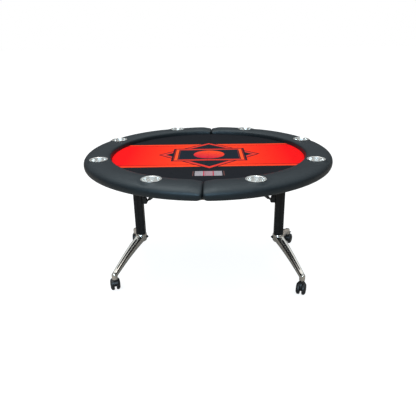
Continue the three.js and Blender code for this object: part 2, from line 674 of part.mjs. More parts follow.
/** Everything that belongs to one side of the table. */
function half(side) {
  const turn = side === "left" ? 0 : Math.PI;
  const endName = (local) => (local < 0) === (side === "left") ? "front" : "rear";
  const group = new THREE.Group();
  const add = (name, body, material) => group.add(piece(`${side}_${name}`, body, material));
  const playHigh = CLOTH_TOP - CLOTH_THICK - FIT_GAP;

  add("rail_cushion", railCushion(), LEATHERETTE);
  add("rail_board", railBoard(), PLYWOOD);
  add("base_board", halfBoard(BOARD_RADIUS, UNDERSIDE, UNDERSIDE + BASE_BOARD_THICK), PLYWOOD);
  add("play_board", halfBoard(PLAY_RADIUS, SEAT_Z, playHigh), PLYWOOD);
  add("playing_cloth", halfBoard(PLAY_RADIUS, CLOTH_TOP - CLOTH_THICK, CLOTH_TOP), CLOTH);
  for (const degrees of CUP_ANGLES) {
    const place = Math.abs(degrees - 180) > 45 ? "inner" : "outer";
    add(`${endName(180 - degrees)}_${place}_cup`, cup(degrees), STEEL_CUP);
  }
  add("sub_frame", subFrame(), BLACK_METAL);
  add("column_pin", columnPin(), ZINC);
  add("column", column(), BLACK_METAL);
  add("column_head", columnHead(), BLACK_METAL);
  add("foot", foot(), POLISHED);
  add("hub_bolt", hubBolt(), BLACK_PLASTIC);
  add("strut_bracket", strutBracket(), BLACK_METAL);

  const strut = new THREE.Group();
  strut.position.set(-STRUT_FOOT.x, STRUT_Y, STRUT_FOOT.z);
  strut.rotation.y = -strutVector.angle();
  strut.add(piece(`${side}_strut_tube`, strutTube(), BLACK_METAL));
  strut.add(piece(`${side}_strut_rod`, strutRod(), POLISHED));
  group.add(strut);

  for (const local of [-1, 1]) {
    add(`${endName(local)}_foot_inlay`, armStrip(local, 0), BLACK_PLASTIC);
    group.add(caster(side, endName(local), local, turn));
  }
  group.rotation.z = turn;
  return group;
}

const table = new THREE.Group();
table.add(half("left"), half("right"));
for (const [end, y] of [["front", -FRAME_RAIL_Y], ["rear", FRAME_RAIL_Y]]) {
  table.add(piece(`${end}_hinge_left_leaf`, hingeLeaf(-1, y), ZINC));
  table.add(piece(`${end}_hinge_right_leaf`, hingeLeaf(1, y), ZINC));
  table.add(piece(`${end}_hinge_pin`, hingePin(y), ZINC));
}
export default table;
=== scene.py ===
"""Looks of a round folding poker table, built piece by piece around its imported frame."""

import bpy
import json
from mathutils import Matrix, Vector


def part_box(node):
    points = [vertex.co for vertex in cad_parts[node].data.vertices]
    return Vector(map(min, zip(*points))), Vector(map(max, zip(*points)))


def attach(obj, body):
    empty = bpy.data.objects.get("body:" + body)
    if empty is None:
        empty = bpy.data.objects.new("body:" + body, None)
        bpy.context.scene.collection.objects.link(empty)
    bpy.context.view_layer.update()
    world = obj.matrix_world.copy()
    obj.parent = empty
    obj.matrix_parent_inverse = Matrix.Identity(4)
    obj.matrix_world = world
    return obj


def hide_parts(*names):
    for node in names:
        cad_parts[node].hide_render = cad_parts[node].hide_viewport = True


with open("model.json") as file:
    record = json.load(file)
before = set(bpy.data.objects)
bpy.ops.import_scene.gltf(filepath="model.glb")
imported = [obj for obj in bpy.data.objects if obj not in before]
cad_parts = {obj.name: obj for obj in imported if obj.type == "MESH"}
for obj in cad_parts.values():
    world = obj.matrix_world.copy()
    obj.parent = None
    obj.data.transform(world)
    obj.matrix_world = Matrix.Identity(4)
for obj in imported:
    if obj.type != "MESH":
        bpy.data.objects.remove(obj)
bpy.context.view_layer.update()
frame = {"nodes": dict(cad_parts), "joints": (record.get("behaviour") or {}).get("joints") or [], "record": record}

import json
import logging
import math
from collections.abc import Sequence
from dataclasses import dataclass
from enum import Enum

import bmesh
import bpy
from mathutils import Matrix, Vector

logging.basicConfig(level=logging.INFO, format="%(message)s")
LOG = logging.getLogger("poker_table")

MM = 0.001
CREASE = 38.0  # degrees above which an edge stays sharp
STEEL_CREASE = 30.0
MOULDED_CREASE = 35.0
Point2 = tuple[float, float]
Corner = tuple[float, float, float]


class Side(Enum):
    """Which half of the table a piece belongs to."""

    LEFT = "left"
    RIGHT = "right"

    @property
    def turn(self) -> Matrix:
        """Turn that carries the left half's shapes to this half."""
        return Matrix.Rotation(0.0 if self is Side.LEFT else math.pi, 4, "Z")

    def end_name(self, local: int) -> str:
        """Name of the end that lies at negative (-1) or positive (+1) Y before the turn."""
        return "front" if (local < 0) == (self is Side.LEFT) else "rear"


class Feel(Enum):
    """How strongly a surface shows fine relief."""

    SMOOTH = 0.05
    SOFT = 0.2
    MARKED = 0.5


# ------------------------------------------------------------------ shapes


def fillet(corners: Sequence[Corner], closed: bool = False, steps: int = 5) -> list[Point2]:
    """Round the corners of an outline.

    Args:
        corners: x, y and rounding of each corner.
        closed: whether the last corner joins the first.
        steps: spans in each rounding.

    Returns:
        The rounded outline's points.
    """
    points: list[Point2] = []
    count = len(corners)
    for i, (x, y, radius) in enumerate(corners):
        here = Vector((x, y))
        if radius <= 0.0 or (not closed and i in (0, count - 1)):
            points.append((x, y))
            continue
        before = Vector(corners[i - 1][:2]) - here
        after = Vector(corners[(i + 1) % count][:2]) - here
        reach = min(radius, 0.48 * before.length, 0.48 * after.length)
        start, end = here + before.normalized() * reach, here + after.normalized() * reach
        for k in range(steps + 1):
            t = k / steps
            spot = start * (1 - t) ** 2 + here * (2 * t * (1 - t)) + end * t**2
            points.append((spot.x, spot.y))
    return points


def resample(path: Sequence[Point2], count: int) -> list[Point2]:
    """Spread count points evenly along a path, both ends included."""
    lengths = [0.0]
    for (x0, y0), (x1, y1) in zip(path, path[1:]):
        lengths.append(lengths[-1] + math.hypot(x1 - x0, y1 - y0))
    spread: list[Point2] = []
    k = 0
    for i in range(count):
        goal = lengths[-1] * i / (count - 1)
        while k < len(path) - 2 and lengths[k + 1] < goal:
            k += 1
        span = max(lengths[k + 1] - lengths[k], 1e-12)
        t = min(max((goal - lengths[k]) / span, 0.0), 1.0)
        spread.append(
            (path[k][0] + (path[k + 1][0] - path[k][0]) * t, path[k][1] + (path[k + 1][1] - path[k][1]) * t)
        )
    return spread


def polar(radius: float, angle: float, z: float = 0.0) -> Vector:
    """Point at a radius and an angle about Z."""
    return Vector((radius * math.cos(angle), radius * math.sin(angle), z))


def rounded_box(half_x: float, half_y: float, radius: float, steps: int = 3) -> list[Point2]:
    """Outline of a rectangle about the origin with rounded corners."""
    return fillet(
        [(s * half_x, t * half_y, radius) for s, t in ((-1, -1), (1, -1), (1, 1), (-1, 1))], True, steps,
    )


def rounded_off(away: float, radius: float) -> float:
    """How far a rounded edge has fallen back at a distance from its end."""
    share = min(max(away, 0.0) / radius, 1.0)
    return radius * (1 - math.sqrt(1 - (1 - share) ** 2))


def in_mm(*rows: Sequence[float]) -> list[tuple[float, ...]]:
    """Rows given in millimetres, in metres."""
    return [tuple(value * MM for value in row) for row in rows]


def axis_frame(origin: Vector, along: Vector, side: Vector | None = None) -> Matrix:
    """Matrix whose local Z runs along a direction, placed at an origin."""
    z = along.normalized()
    x = side if side is not None else (Vector((0, 0, 1)) if abs(z.z) < 0.9 else Vector((1, 0, 0)))
    x = (x - z * x.dot(z)).normalized()
    y = z.cross(x)
    rotation = Matrix((x, y, z)).transposed().to_4x4()
    return Matrix.Translation(origin) @ rotation


class Workpiece:
    """A piece under construction, held in one bmesh until it is placed in the scene."""

    def __init__(self, place: Matrix | None = None) -> None:
        """Start an empty piece whose shapes are carried by place."""
        self.bm = bmesh.new()
        self.place = place or Matrix.Identity(4)

    def _vert(self, point: Vector) -> bmesh.types.BMVert:
        """Add one vertex, carried by the piece's placing."""
        return self.bm.verts.new(self.place @ point)

    def rings(self, rings: Sequence[Sequence[Vector]], closed: bool = False) -> "Workpiece":
        """Skin a row of rings with equal numbers of points.

        Args:
            rings: the rings in order.
            closed: whether the last ring joins the first; if not, the two end rings are filled.

        Returns:
            This piece.
        """
        rows = [[self._vert(p) for p in ring] for ring in rings]
        count = len(rows[0])
        pairs = list(zip(rows, rows[1:])) + ([(rows[-1], rows[0])] if closed else [])
        for low, high in pairs:
            for k in range(count):
                nxt = (k + 1) % count
                self.bm.faces.new((low[k], low[nxt], high[nxt], high[k]))
        if not closed:
            self.bm.faces.new(list(reversed(rows[0])))
            self.bm.faces.new(rows[-1])
        return self

    def revolve(self, profile: Sequence[Point2], at: Matrix, steps: int = 48) -> "Workpiece":
        """Turn a profile of (radius, height) pairs about the local Z of a frame.

        Args:
            profile: the pairs, starting and ending on the axis or closing on themselves.
            at: frame whose Z is the axis.
            steps: spans round the axis.

        Returns:
            This piece.
        """
        columns: list[list[bmesh.types.BMVert] | bmesh.types.BMVert] = []
        loop = math.dist(profile[0], profile[-1]) < 1e-9
        points = profile[:-1] if loop else profile
        for radius, height in points:
            if radius < 1e-9:
                columns.append(self._vert(at @ Vector((0, 0, height))))
                continue
            turn = [2 * math.pi * k / steps for k in range(steps)]
            columns.append([self._vert(at @ polar(radius, a, height)) for a in turn])
        pairs = list(zip(columns, columns[1:])) + ([(columns[-1], columns[0])] if loop else [])
        for low, high in pairs:
            for k in range(steps):
                nxt = (k + 1) % steps
                if isinstance(low, list) and isinstance(high, list):
                    self.bm.faces.new((low[k], low[nxt], high[nxt], high[k]))
                elif isinstance(high, list):
                    self.bm.faces.new((low, high[nxt], high[k]))
                elif isinstance(low, list):
                    self.bm.faces.new((low[k], low[nxt], high))
        return self

    def prism(self, outline: Sequence[Point2], at: Matrix, depth: float, bevel: float = 0.0) -> "Workpiece":
        """Raise an outline along the local Z of a frame, with its rims eased.

        Args:
            outline: the points in the frame's X and Y.
            at: frame of the outline.
            depth: how far it rises.
            bevel: how much the rims are eased.

        Returns:
            This piece.
        """
        inner = inset(outline, bevel) if bevel > 0 else list(outline)
        layers = [
            (inner, 0.0), (outline, bevel), (outline, depth - bevel), (inner, depth),
        ] if bevel > 0 else [(outline, 0.0), (outline, depth)]
        return self.rings([[at @ Vector((x, y, z)) for x, y in ring] for ring, z in layers])

    def block(self, low: Vector, high: Vector, ease: float = 0.8 * MM) -> "Workpiece":
        """Box between two corners with eased edges."""
        size, middle = high - low, (low + high) / 2
        radius = min(ease * 2, min(size) / 3)
        outline = rounded_box(size.x / 2, size.y / 2, radius)
        return self.prism(
            outline, Matrix.Translation((middle.x, middle.y, low.z)), size.z, min(ease, size.z / 4),
        )

    def done(self, name: str, finish: bpy.types.Material, crease: float = CREASE) -> bpy.types.Object:
        """Turn the shapes into one scene object.

        Args:
            name: the piece's name.
            finish: its material.
            crease: angle in degrees above which an edge stays sharp.

        Returns:
            The new object.
        """
        bmesh.ops.recalc_face_normals(self.bm, faces=self.bm.faces)
        mesh = bpy.data.meshes.new(name)
        self.bm.to_mesh(mesh)
        self.bm.free()
        return dressed(name, mesh, finish, crease)


def inset(outline: Sequence[Point2], distance: float) -> list[Point2]:
    """Move a closed outline inwards by a distance, corner by corner."""
    count = len(outline)
    area = sum(outline[i - 1][0] * outline[i][1] - outline[i][0] * outline[i - 1][1] for i in range(count))
    sign = 1.0 if area > 0 else -1.0
    moved: list[Point2] = []
    for i, (x, y) in enumerate(outline):
        before = Vector(outline[i - 1])
        after = Vector(outline[(i + 1) % count])
        run = after - before
        normal = Vector((-run.y, run.x)).normalized() * sign
        moved.append((x + normal.x * distance, y + normal.y * distance))
    return moved


def shade(mesh: bpy.types.Mesh, crease: float) -> None:
    """Shade a mesh smooth with its edges sharp above an angle in degrees."""
    for polygon in mesh.polygons:
        polygon.use_smooth = True
    mesh.set_sharp_from_angle(angle=math.radians(crease))


def dressed(name: str, mesh: bpy.types.Mesh, finish: bpy.types.Material, crease: float) -> bpy.types.Object:
    """Put a mesh in the scene under a name, with its finish and its sharp edges marked."""
    mesh.materials.clear()
    mesh.materials.append(finish)
    shade(mesh, crease)
    piece = bpy.data.objects.new(name, mesh)
    bpy.context.scene.collection.objects.link(piece)
    return piece


def settle(piece: bpy.types.Object) -> None:
    """Apply every modifier of a piece to its mesh."""
    graph = bpy.context.evaluated_depsgraph_get()
    mesh = bpy.data.meshes.new_from_object(
        piece.evaluated_get(graph), preserve_all_data_layers=True, depsgraph=graph,
    )
    piece.modifiers.clear()
    old = piece.data
    piece.data = mesh
    bpy.data.meshes.remove(old)


def combine(
    piece: bpy.types.Object, tools: Sequence[bpy.types.Object], operation: str = "DIFFERENCE",
) -> None:
    """Cut closed tools out of a closed piece, or weld them to it, and throw the tools away."""
    for tool in tools:
        step = piece.modifiers.new("combine", "BOOLEAN")
        step.operation = operation
        step.solver = "MANIFOLD"
        step.object = tool
    settle(piece)
    for tool in tools:
        bpy.data.objects.remove(tool)


def fitted(piece: bpy.types.Object, body: str, slot: str, *nodes: str) -> bpy.types.Object:
    """Let a piece ride on a body and stand for CAD nodes, and report it."""
    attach(piece, body)
    if nodes:
        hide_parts(*nodes)
    LOG.info("%-34s rides %-22s %6d faces", piece.name, body, len(piece.data.polygons))
    return piece


# ------------------------------------------------------------------ finishes

Colour = tuple[float, float, float]
Given = bpy.types.NodeSocket | float | Colour


def tone(code: str) -> Colour:
    """Linear colour of a six-digit sRGB code."""
    parts = [int(code[i : i + 2], 16) / 255 for i in (0, 2, 4)]
    linear = [c / 12.92 if c <= 0.04045 else ((c + 0.055) / 1.055) ** 2.4 for c in parts]
    return linear[0], linear[1], linear[2]


class Graph:
    """Short hand for laying nodes in one tree."""

    def __init__(self, tree: bpy.types.NodeTree) -> None:
        """Work on a tree."""
        self.tree = tree

    def feed(self, socket: bpy.types.NodeSocket, value: Given) -> None:
        """Link or set one input socket."""
        if isinstance(value, bpy.types.NodeSocket):
            self.tree.links.new(value, socket)
        elif isinstance(value, tuple) and socket.type == "RGBA":
            socket.default_value = (*value, 1.0)
        else:
            socket.default_value = value

    def put(
        self, kind: str, inputs: dict[str | int, Given] | None = None, **settings: object,
    ) -> bpy.types.Node:
        """Add a node.

        Args:
            kind: the node's type name after ShaderNode.
            inputs: values or sockets for its inputs, by name or place.
            settings: properties of the node.

        Returns:
            The new node.
        """
        node = self.tree.nodes.new("ShaderNode" + kind)
        for name, value in settings.items():
            setattr(node, name, value)
        for name, value in (inputs or {}).items():
            self.feed(node.inputs[name], value)
        return node

    def maths(self, operation: str, *values: Given, clamp: bool = False) -> bpy.types.NodeSocket:
        """Result of a maths node."""
        return self.put("Math", dict(enumerate(values)), operation=operation, use_clamp=clamp).outputs[0]

    def vector(self, operation: str, *values: Given) -> bpy.types.NodeSocket:
        """Vector result of a vector maths node."""
        return self.put("VectorMath", dict(enumerate(values)), operation=operation).outputs[0]

    def mix(self, factor: Given, low: Given, high: Given) -> bpy.types.NodeSocket:
        """Colour between two others."""
        return self.put("Mix", {0: factor, 6: low, 7: high}, data_type="RGBA").outputs[2]

    def span(
        self, value: Given, low: float, high: float, to_low: float = 0.0, to_high: float = 1.0,
    ) -> bpy.types.NodeSocket:
        """Value carried from one span to another, clamped."""
        places = {0: value, 1: low, 2: high, 3: to_low, 4: to_high}
        return self.put("MapRange", places, clamp=True).outputs[0]

    def below(self, value: Given, limit: float, soft: float = 0.0012) -> bpy.types.NodeSocket:
        """Mask that is 1 where a value is under a limit."""
        return self.span(value, limit - soft / 2, limit + soft / 2, 1.0, 0.0)

    def noise(
        self, vector: Given, scale: Given, detail: float = 3.0, roughness: float = 0.5,
    ) -> bpy.types.NodeSocket:
        """Value of a noise texture."""
        return self.put(
            "TexNoise", {"Vector": vector, "Scale": scale, "Detail": detail, "Roughness": roughness},
        ).outputs[0]

    def shared(self, group: bpy.types.NodeTree, inputs: dict[str, Given]) -> bpy.types.Node:
        """Place a shared group."""
        node = self.tree.nodes.new("ShaderNodeGroup")
        node.node_tree = group
        for name, value in inputs.items():
            self.feed(node.inputs[name], value)
        return node


SOCKET_KINDS = {"vector": "NodeSocketVector", "value": "NodeSocketFloat", "colour": "NodeSocketColor"}


class SharedGroup:
    """Base of the effects that several finishes use, each built once."""

    title = ""
    takes: dict[str, tuple[str, float | None]] = {}
    gives: dict[str, str] = {}

    @classmethod
    def tree(cls) -> bpy.types.NodeTree:
        """The group's node tree, made at the first call."""
        known = bpy.data.node_groups.get(cls.title)
        if known:
            return known
        made = bpy.data.node_groups.new(cls.title, "ShaderNodeTree")
        for name, (kind, default) in cls.takes.items():
            socket = made.interface.new_socket(name=name, in_out="INPUT", socket_type=SOCKET_KINDS[kind])
            if default is not None:
                socket.default_value = default
        for name, kind in cls.gives.items():
            made.interface.new_socket(name=name, in_out="OUTPUT", socket_type=SOCKET_KINDS[kind])
        graph = Graph(made)
        entry, leave = made.nodes.new("NodeGroupInput"), made.nodes.new("NodeGroupOutput")
        for name, value in cls.lay(graph, entry.outputs).items():
            graph.feed(leave.inputs[name], value)
        return made

    @classmethod
    def lay(cls, graph: Graph, given: bpy.types.NodeOutputs) -> dict[str, Given]:
        """Lay the group's nodes and name what leaves it."""
        raise NotImplementedError


class HideGrain(SharedGroup):
    """Pebbled grain of coated fabric or moulded plastic, with painted shade in its creases."""

    title = "Hide grain"
    takes = {"Vector": ("vector", None), "Scale": ("value", 700.0)}
    gives = {"Height": "value", "Painted shade": "value"}

    @classmethod
    def lay(cls, graph: Graph, given: bpy.types.NodeOutputs) -> dict[str, Given]:
        """Cells broken up by noise, with fine creases between them, and a value that is darker in the creases,
        which is painted shade.
        """
        warp = graph.put("TexNoise", {"Vector": given["Vector"], "Scale": 260.0, "Detail": 2.0}).outputs[1]
        bent = graph.vector(
            "ADD", given["Vector"], graph.vector("MULTIPLY", warp, (0.0012, 0.0012, 0.0012)),
        )
        cells = graph.put(
            "TexVoronoi", {"Vector": bent, "Scale": given["Scale"], "Smoothness": 0.3}, feature="SMOOTH_F1",
        )
        creases = graph.put(
            "TexVoronoi", {"Vector": bent, "Scale": given["Scale"]}, feature="DISTANCE_TO_EDGE",
        )
        pebble = graph.span(cells.outputs["Distance"], 0.1, 0.8, 1.0, 0.0)
        gap = graph.span(creases.outputs["Distance"], 0.0, 0.12)
        height = graph.maths("MULTIPLY", pebble, gap)
        # Painted shade: this value darkens the colour along the creases of the grain.
        return {"Height": height, "Painted shade": graph.span(gap, 0.0, 1.0, 0.7, 1.0)}


class Smudges(SharedGroup):
    """Cloudy change of gloss from handling."""

    title = "Smudges"
    takes = {
        "Vector": ("vector", None), "Scale": ("value", 9.0), "Low": ("value", 0.3), "High": ("value", 0.5),
    }
    gives = {"Gloss": "value", "Cloud": "value"}

    @classmethod
    def lay(cls, graph: Graph, given: bpy.types.NodeOutputs) -> dict[str, Given]:
        """Two sizes of noise, carried into the span between Low and High."""
        wide = graph.noise(given["Vector"], given["Scale"], 4.0, 0.6)
        fine = graph.noise(given["Vector"], graph.maths("MULTIPLY", given["Scale"], 11.0), 3.0, 0.6)
        cloud = graph.maths("ADD", graph.maths("MULTIPLY", wide, 0.7), graph.maths("MULTIPLY", fine, 0.3))
        spread = graph.span(cloud, 0.32, 0.68)
        reach = graph.maths("SUBTRACT", given["High"], given["Low"])
        return {"Gloss": graph.maths("MULTIPLY_ADD", spread, reach, given["Low"]), "Cloud": spread}


class EdgeWearAndHighlight(SharedGroup):
    """Sharp corners: rubbed bare on coatings, and a painted highlight along the corners of bare metal."""

    title = "Edge wear and highlight"
    takes = {"Vector": ("vector", None), "Amount": ("value", 0.5)}
    gives = {"Mask": "value"}

    @classmethod
    def lay(cls, graph: Graph, given: bpy.types.NodeOutputs) -> dict[str, Given]:
        """Sharp convex places, broken up by noise."""
        sharp = graph.span(graph.put("NewGeometry").outputs["Pointiness"], 0.52, 0.6)
        broken = graph.span(graph.noise(given["Vector"], 60.0, 4.0, 0.7), 0.4, 0.62)
        return {
            "Mask": graph.maths(
                "MULTIPLY", graph.maths("MULTIPLY", sharp, broken), given["Amount"], clamp=True,
            )
        }


class Dust(SharedGroup):
    """Fine dust on faces that look up."""

    title = "Dust"
    takes = {"Vector": ("vector", None), "Amount": ("value", 0.3)}
    gives = {"Mask": "value"}

    @classmethod
    def lay(cls, graph: Graph, given: bpy.types.NodeOutputs) -> dict[str, Given]:
        """Upward normal times speckled noise."""
        normal = graph.put("SeparateXYZ", {0: graph.put("NewGeometry").outputs["Normal"]}).outputs[2]
        up = graph.span(normal, 0.1, 0.95)
        specks = graph.span(graph.noise(given["Vector"], 180.0, 5.0, 0.75), 0.42, 0.75)
        return {
            "Mask": graph.maths(
                "MULTIPLY", graph.maths("MULTIPLY", up, specks), given["Amount"], clamp=True,
            )
        }


class Weave(SharedGroup):
    """Plain weave of two sets of threads, with painted shade where the threads lie low."""

    title = "Weave"
    takes = {"Vector": ("vector", None), "Pitch": ("value", 0.0009)}
    gives = {"Height": "value", "Painted shade": "value"}

    @classmethod
    def lay(cls, graph: Graph, given: bpy.types.NodeOutputs) -> dict[str, Given]:
        """Two crossed sine waves that trade places, with uneven threads, and painted shade that darkens the low
        parts of the weave.
        """
        place = graph.put("SeparateXYZ", {0: given["Vector"]}).outputs
        turns = [
            graph.maths("DIVIDE", graph.maths("MULTIPLY", axis, math.pi), given["Pitch"])
            for axis in place[:2]
        ]
        warp, weft = (graph.maths("ABSOLUTE", graph.maths("SINE", turn)) for turn in turns)
        halves = [graph.maths("FLOOR", graph.maths("DIVIDE", turn, math.pi)) for turn in turns]
        parity = graph.maths(
            "MODULO", graph.maths("ABSOLUTE", graph.maths("ADD", halves[0], halves[1])), 2.0,
        )
        over = graph.maths("ADD", graph.maths("MULTIPLY", warp, parity), graph.maths(
            "MULTIPLY", weft, graph.maths("SUBTRACT", 1.0, parity)))
        slub = graph.noise(given["Vector"], 420.0, 3.0, 0.6)
        height = graph.maths("MULTIPLY", over, graph.span(slub, 0.25, 0.75, 0.75, 1.0))
        # Painted shade: the lower parts of the weave come out darker.
        return {"Height": height, "Painted shade": graph.span(height, 0.0, 1.0, 0.86, 1.0)}


class TablePrint(SharedGroup):
    """Colours printed on the playing cloth, in metres of the table's plan."""

    title = "Table print"
    takes = {"Vector": ("vector", None)}
    gives = {"Colour": "colour", "Ink": "value"}
    turn = math.radians(2.4)
    centre = (0.005, -0.006)
    band, band_line = 0.245, (0.205, 0.213)
    diamond, diamond_red, diamond_line = 0.245, 0.275, 0.288
    panel, panel_edge, panel_line = (0.174, 0.106), (0.198, 0.130), (0.207, 0.139)
    panel_shade, panel_rule = (0.190, 0.122), (0.169, 0.101)
    disc = 0.087
    card_u, card_v, card_half = -0.005, -0.3645, 0.0385
    cards_half, divider, divider_half, rule = 0.0668, 0.0232, 0.0027, 0.0757

    @classmethod
    def lay(cls, graph: Graph, given: bpy.types.NodeOutputs) -> dict[str, Given]:
        """Band, lozenge, panel, disc and three blank cards, one over the other."""
        place = graph.put("SeparateXYZ", {0: given["Vector"]}).outputs
        x = graph.maths("SUBTRACT", place[0], cls.centre[0])
        y = graph.maths("SUBTRACT", place[1], cls.centre[1])
        cos, sin = math.cos(cls.turn), math.sin(cls.turn)
        u = graph.maths("MULTIPLY_ADD", x, cos, graph.maths("MULTIPLY", y, sin))
        v = graph.maths("MULTIPLY_ADD", y, cos, graph.maths("MULTIPLY", x, -sin))
        au, av = graph.maths("ABSOLUTE", u), graph.maths("ABSOLUTE", v)

        def between(value: Given, low: float, high: float) -> bpy.types.NodeSocket:
            """Mask of a stripe."""
            return graph.maths("SUBTRACT", graph.below(value, high), graph.below(value, low))

        def box(half: tuple[float, float]) -> bpy.types.NodeSocket:
            """Mask of a rectangle."""
            return graph.maths("MULTIPLY", graph.below(au, half[0]), graph.below(av, half[1]))

        colour: Given = tone("1b1c20")
        in_band = graph.below(av, cls.band)
        red = graph.mix(graph.span(au, 0.08, 0.46), tone("fd4220"), tone("f60c10"))
        red = graph.mix(graph.span(av, cls.band_line[1], cls.band), red, tone("fb4a22"))
        red = graph.mix(graph.maths("MULTIPLY", between(av, *cls.band_line), 0.8), red, tone("611014"))
        colour = graph.mix(in_band, colour, red)
        lozenge = graph.maths("ADD", au, av)
        edge = graph.maths("MULTIPLY", between(lozenge, cls.diamond_red, cls.diamond_line), in_band)
        colour = graph.mix(edge, colour, tone("2c1220"))
        colour = graph.mix(graph.below(lozenge, cls.diamond_red), colour, tone("e2382c"))
        colour = graph.mix(graph.below(lozenge, cls.diamond), colour, tone("1d2228"))
        colour = graph.mix(box(cls.panel_line), colour, tone("161b26"))
        upright = graph.below(graph.maths("SUBTRACT", av, au), cls.panel_edge[1] - cls.panel_edge[0], 0.004)
        frame_red = graph.mix(upright, tone("e03a28"), tone("fb5528"))
        colour = graph.mix(box(cls.panel_edge), colour, graph.mix(upright, tone("c02a22"), tone("8e1f1d")))
        colour = graph.mix(box(cls.panel_shade), colour, frame_red)
        colour = graph.mix(box(cls.panel), colour, tone("1b222b"))
        rim = graph.maths(
            "MAXIMUM", graph.maths("SUBTRACT", au, cls.panel_rule[0]),
            graph.maths("SUBTRACT", av, cls.panel_rule[1]),
        )
        colour = graph.mix(graph.maths("MULTIPLY", between(rim, -0.003, 0.0), 0.7), colour, tone("a32a24"))
        away = graph.maths(
            "SQRT", graph.maths("ADD", graph.maths("MULTIPLY", u, u), graph.maths("MULTIPLY", v, v)),
        )
        slope = graph.span(graph.maths("ADD", v, graph.maths("MULTIPLY", u, 0.4)), -cls.disc, cls.disc)
        colour = graph.mix(
            graph.below(away, cls.disc), colour, graph.mix(slope, tone("c81e38"), tone("fb4a20")),
        )
        cu = graph.maths("ABSOLUTE", graph.maths("SUBTRACT", u, cls.card_u))
        card_row = graph.maths("ABSOLUTE", graph.maths("SUBTRACT", v, cls.card_v))
        in_row = graph.below(card_row, cls.card_half)
        bars = graph.maths("PINGPONG", v, 0.0042)
        middle = graph.below(cu, 0.019)
        card = graph.mix(middle, tone("a79fa2"), tone("b38a90"))
        card = graph.mix(
            graph.maths("MULTIPLY", graph.below(bars, 0.0016, 0.0012), 0.8), card, tone("6f686d"),
        )
        colour = graph.mix(graph.maths("MULTIPLY", in_row, graph.below(cu, cls.cards_half)), colour, card)
        gap = graph.below(
            graph.maths("ABSOLUTE", graph.maths("SUBTRACT", cu, cls.divider)), cls.divider_half,
        )
        colour = graph.mix(graph.maths("MULTIPLY", in_row, gap), colour, tone("b5203a"))
        rule = graph.below(graph.maths("ABSOLUTE", graph.maths("SUBTRACT", cu, cls.rule)), 0.0011)
        colour = graph.mix(graph.maths("MULTIPLY", in_row, rule), colour, tone("8f5a52"))
        cloudy = graph.span(graph.noise(given["Vector"], 38.0, 5.0, 0.7), 0.3, 0.7, 0.84, 1.06)
        specks = graph.span(graph.noise(given["Vector"], 95.0, 5.0, 0.75), 0.33, 0.43, 0.5, 1.0)
        ink = graph.maths("MULTIPLY", cloudy, specks)
        return {"Colour": colour, "Ink": ink}


@dataclass(frozen=True)
class Finish:
    """A finish: what is the same all over it, and how its surface changes."""

    name: str
    colour: Colour
    roughness: float = 0.5
    metallic: float = 0.0
    specular: float = 0.5
    coat: float = 0.0
    coat_roughness: float = 0.2
    specular_tint: Colour = (1.0, 1.0, 1.0)
    relief: Feel = Feel.SOFT
    depth: float = 0.0002

    def surface(self, graph: Graph, place: bpy.types.NodeSocket) -> dict[str, Given]:
        """Sockets for Base Color, Roughness and Height over the surface."""
        raise NotImplementedError

    def build(self) -> bpy.types.Material:
        """Make the material, or return the one made before."""
        known = bpy.data.materials.get(self.name)
        if known:
            return known
        material = bpy.data.materials.new(self.name)
        material.use_nodes = True
        material.diffuse_color = (*self.colour, 1.0)
        graph = Graph(material.node_tree)
        shader = material.node_tree.nodes["Principled BSDF"]
        for name, value in {
            "Base Color": self.colour, "Roughness": self.roughness, "Metallic": self.metallic,
            "Specular IOR Level": self.specular, "Coat Weight": self.coat,
            "Coat Roughness": self.coat_roughness,
            "Specular Tint": self.specular_tint,
        }.items():
            graph.feed(shader.inputs[name], value)
        place = graph.put("TexCoord").outputs["Object"]
        found = self.surface(graph, place)
        height = found.pop("Height", None)
        for name, value in found.items():
            graph.feed(shader.inputs[name], value)
        if height is not None:
            bump = graph.put(
                "Bump", {"Height": height, "Strength": self.relief.value, "Distance": self.depth},
            )
            graph.feed(shader.inputs["Normal"], bump.outputs[0])
        return material


@dataclass(frozen=True)
class Leatherette(Finish):
    """Black coated fabric with a pebbled grain."""

    name: str = "rail leatherette"
    colour: Colour = tone("1c1e21")
    roughness: float = 0.42
    specular: float = 0.44
    specular_tint: Colour = (0.78, 0.93, 1.0)
    relief: Feel = Feel.MARKED
    depth: float = 0.00035

    def surface(self, graph: Graph, place: bpy.types.NodeSocket) -> dict[str, Given]:
        """Grain with painted shade darkening its creases, and gloss that changes with handling."""
        grain = graph.shared(HideGrain.tree(), {"Vector": place, "Scale": 620.0}).outputs
        smudge = graph.shared(
            Smudges.tree(), {"Vector": place, "Scale": 7.0, "Low": 0.36, "High": 0.5},
        ).outputs
        dust = graph.shared(Dust.tree(), {"Vector": place, "Amount": 0.10}).outputs["Mask"]
        base = graph.mix(smudge["Cloud"], tone("0f1315"), tone("161a1d"))
        # Painted shade: the creases of the grain are darkened towards near-black.
        base = graph.mix(grain["Painted shade"], tone("08090b"), base)
        base = graph.mix(dust, base, tone("5c5e61"))
        crease = graph.noise(place, 34.0, 4.0, 0.6)
        height = graph.maths("MULTIPLY_ADD", crease, 0.8, grain["Height"])
        return {"Base Color": base, "Roughness": smudge["Gloss"], "Height": height}


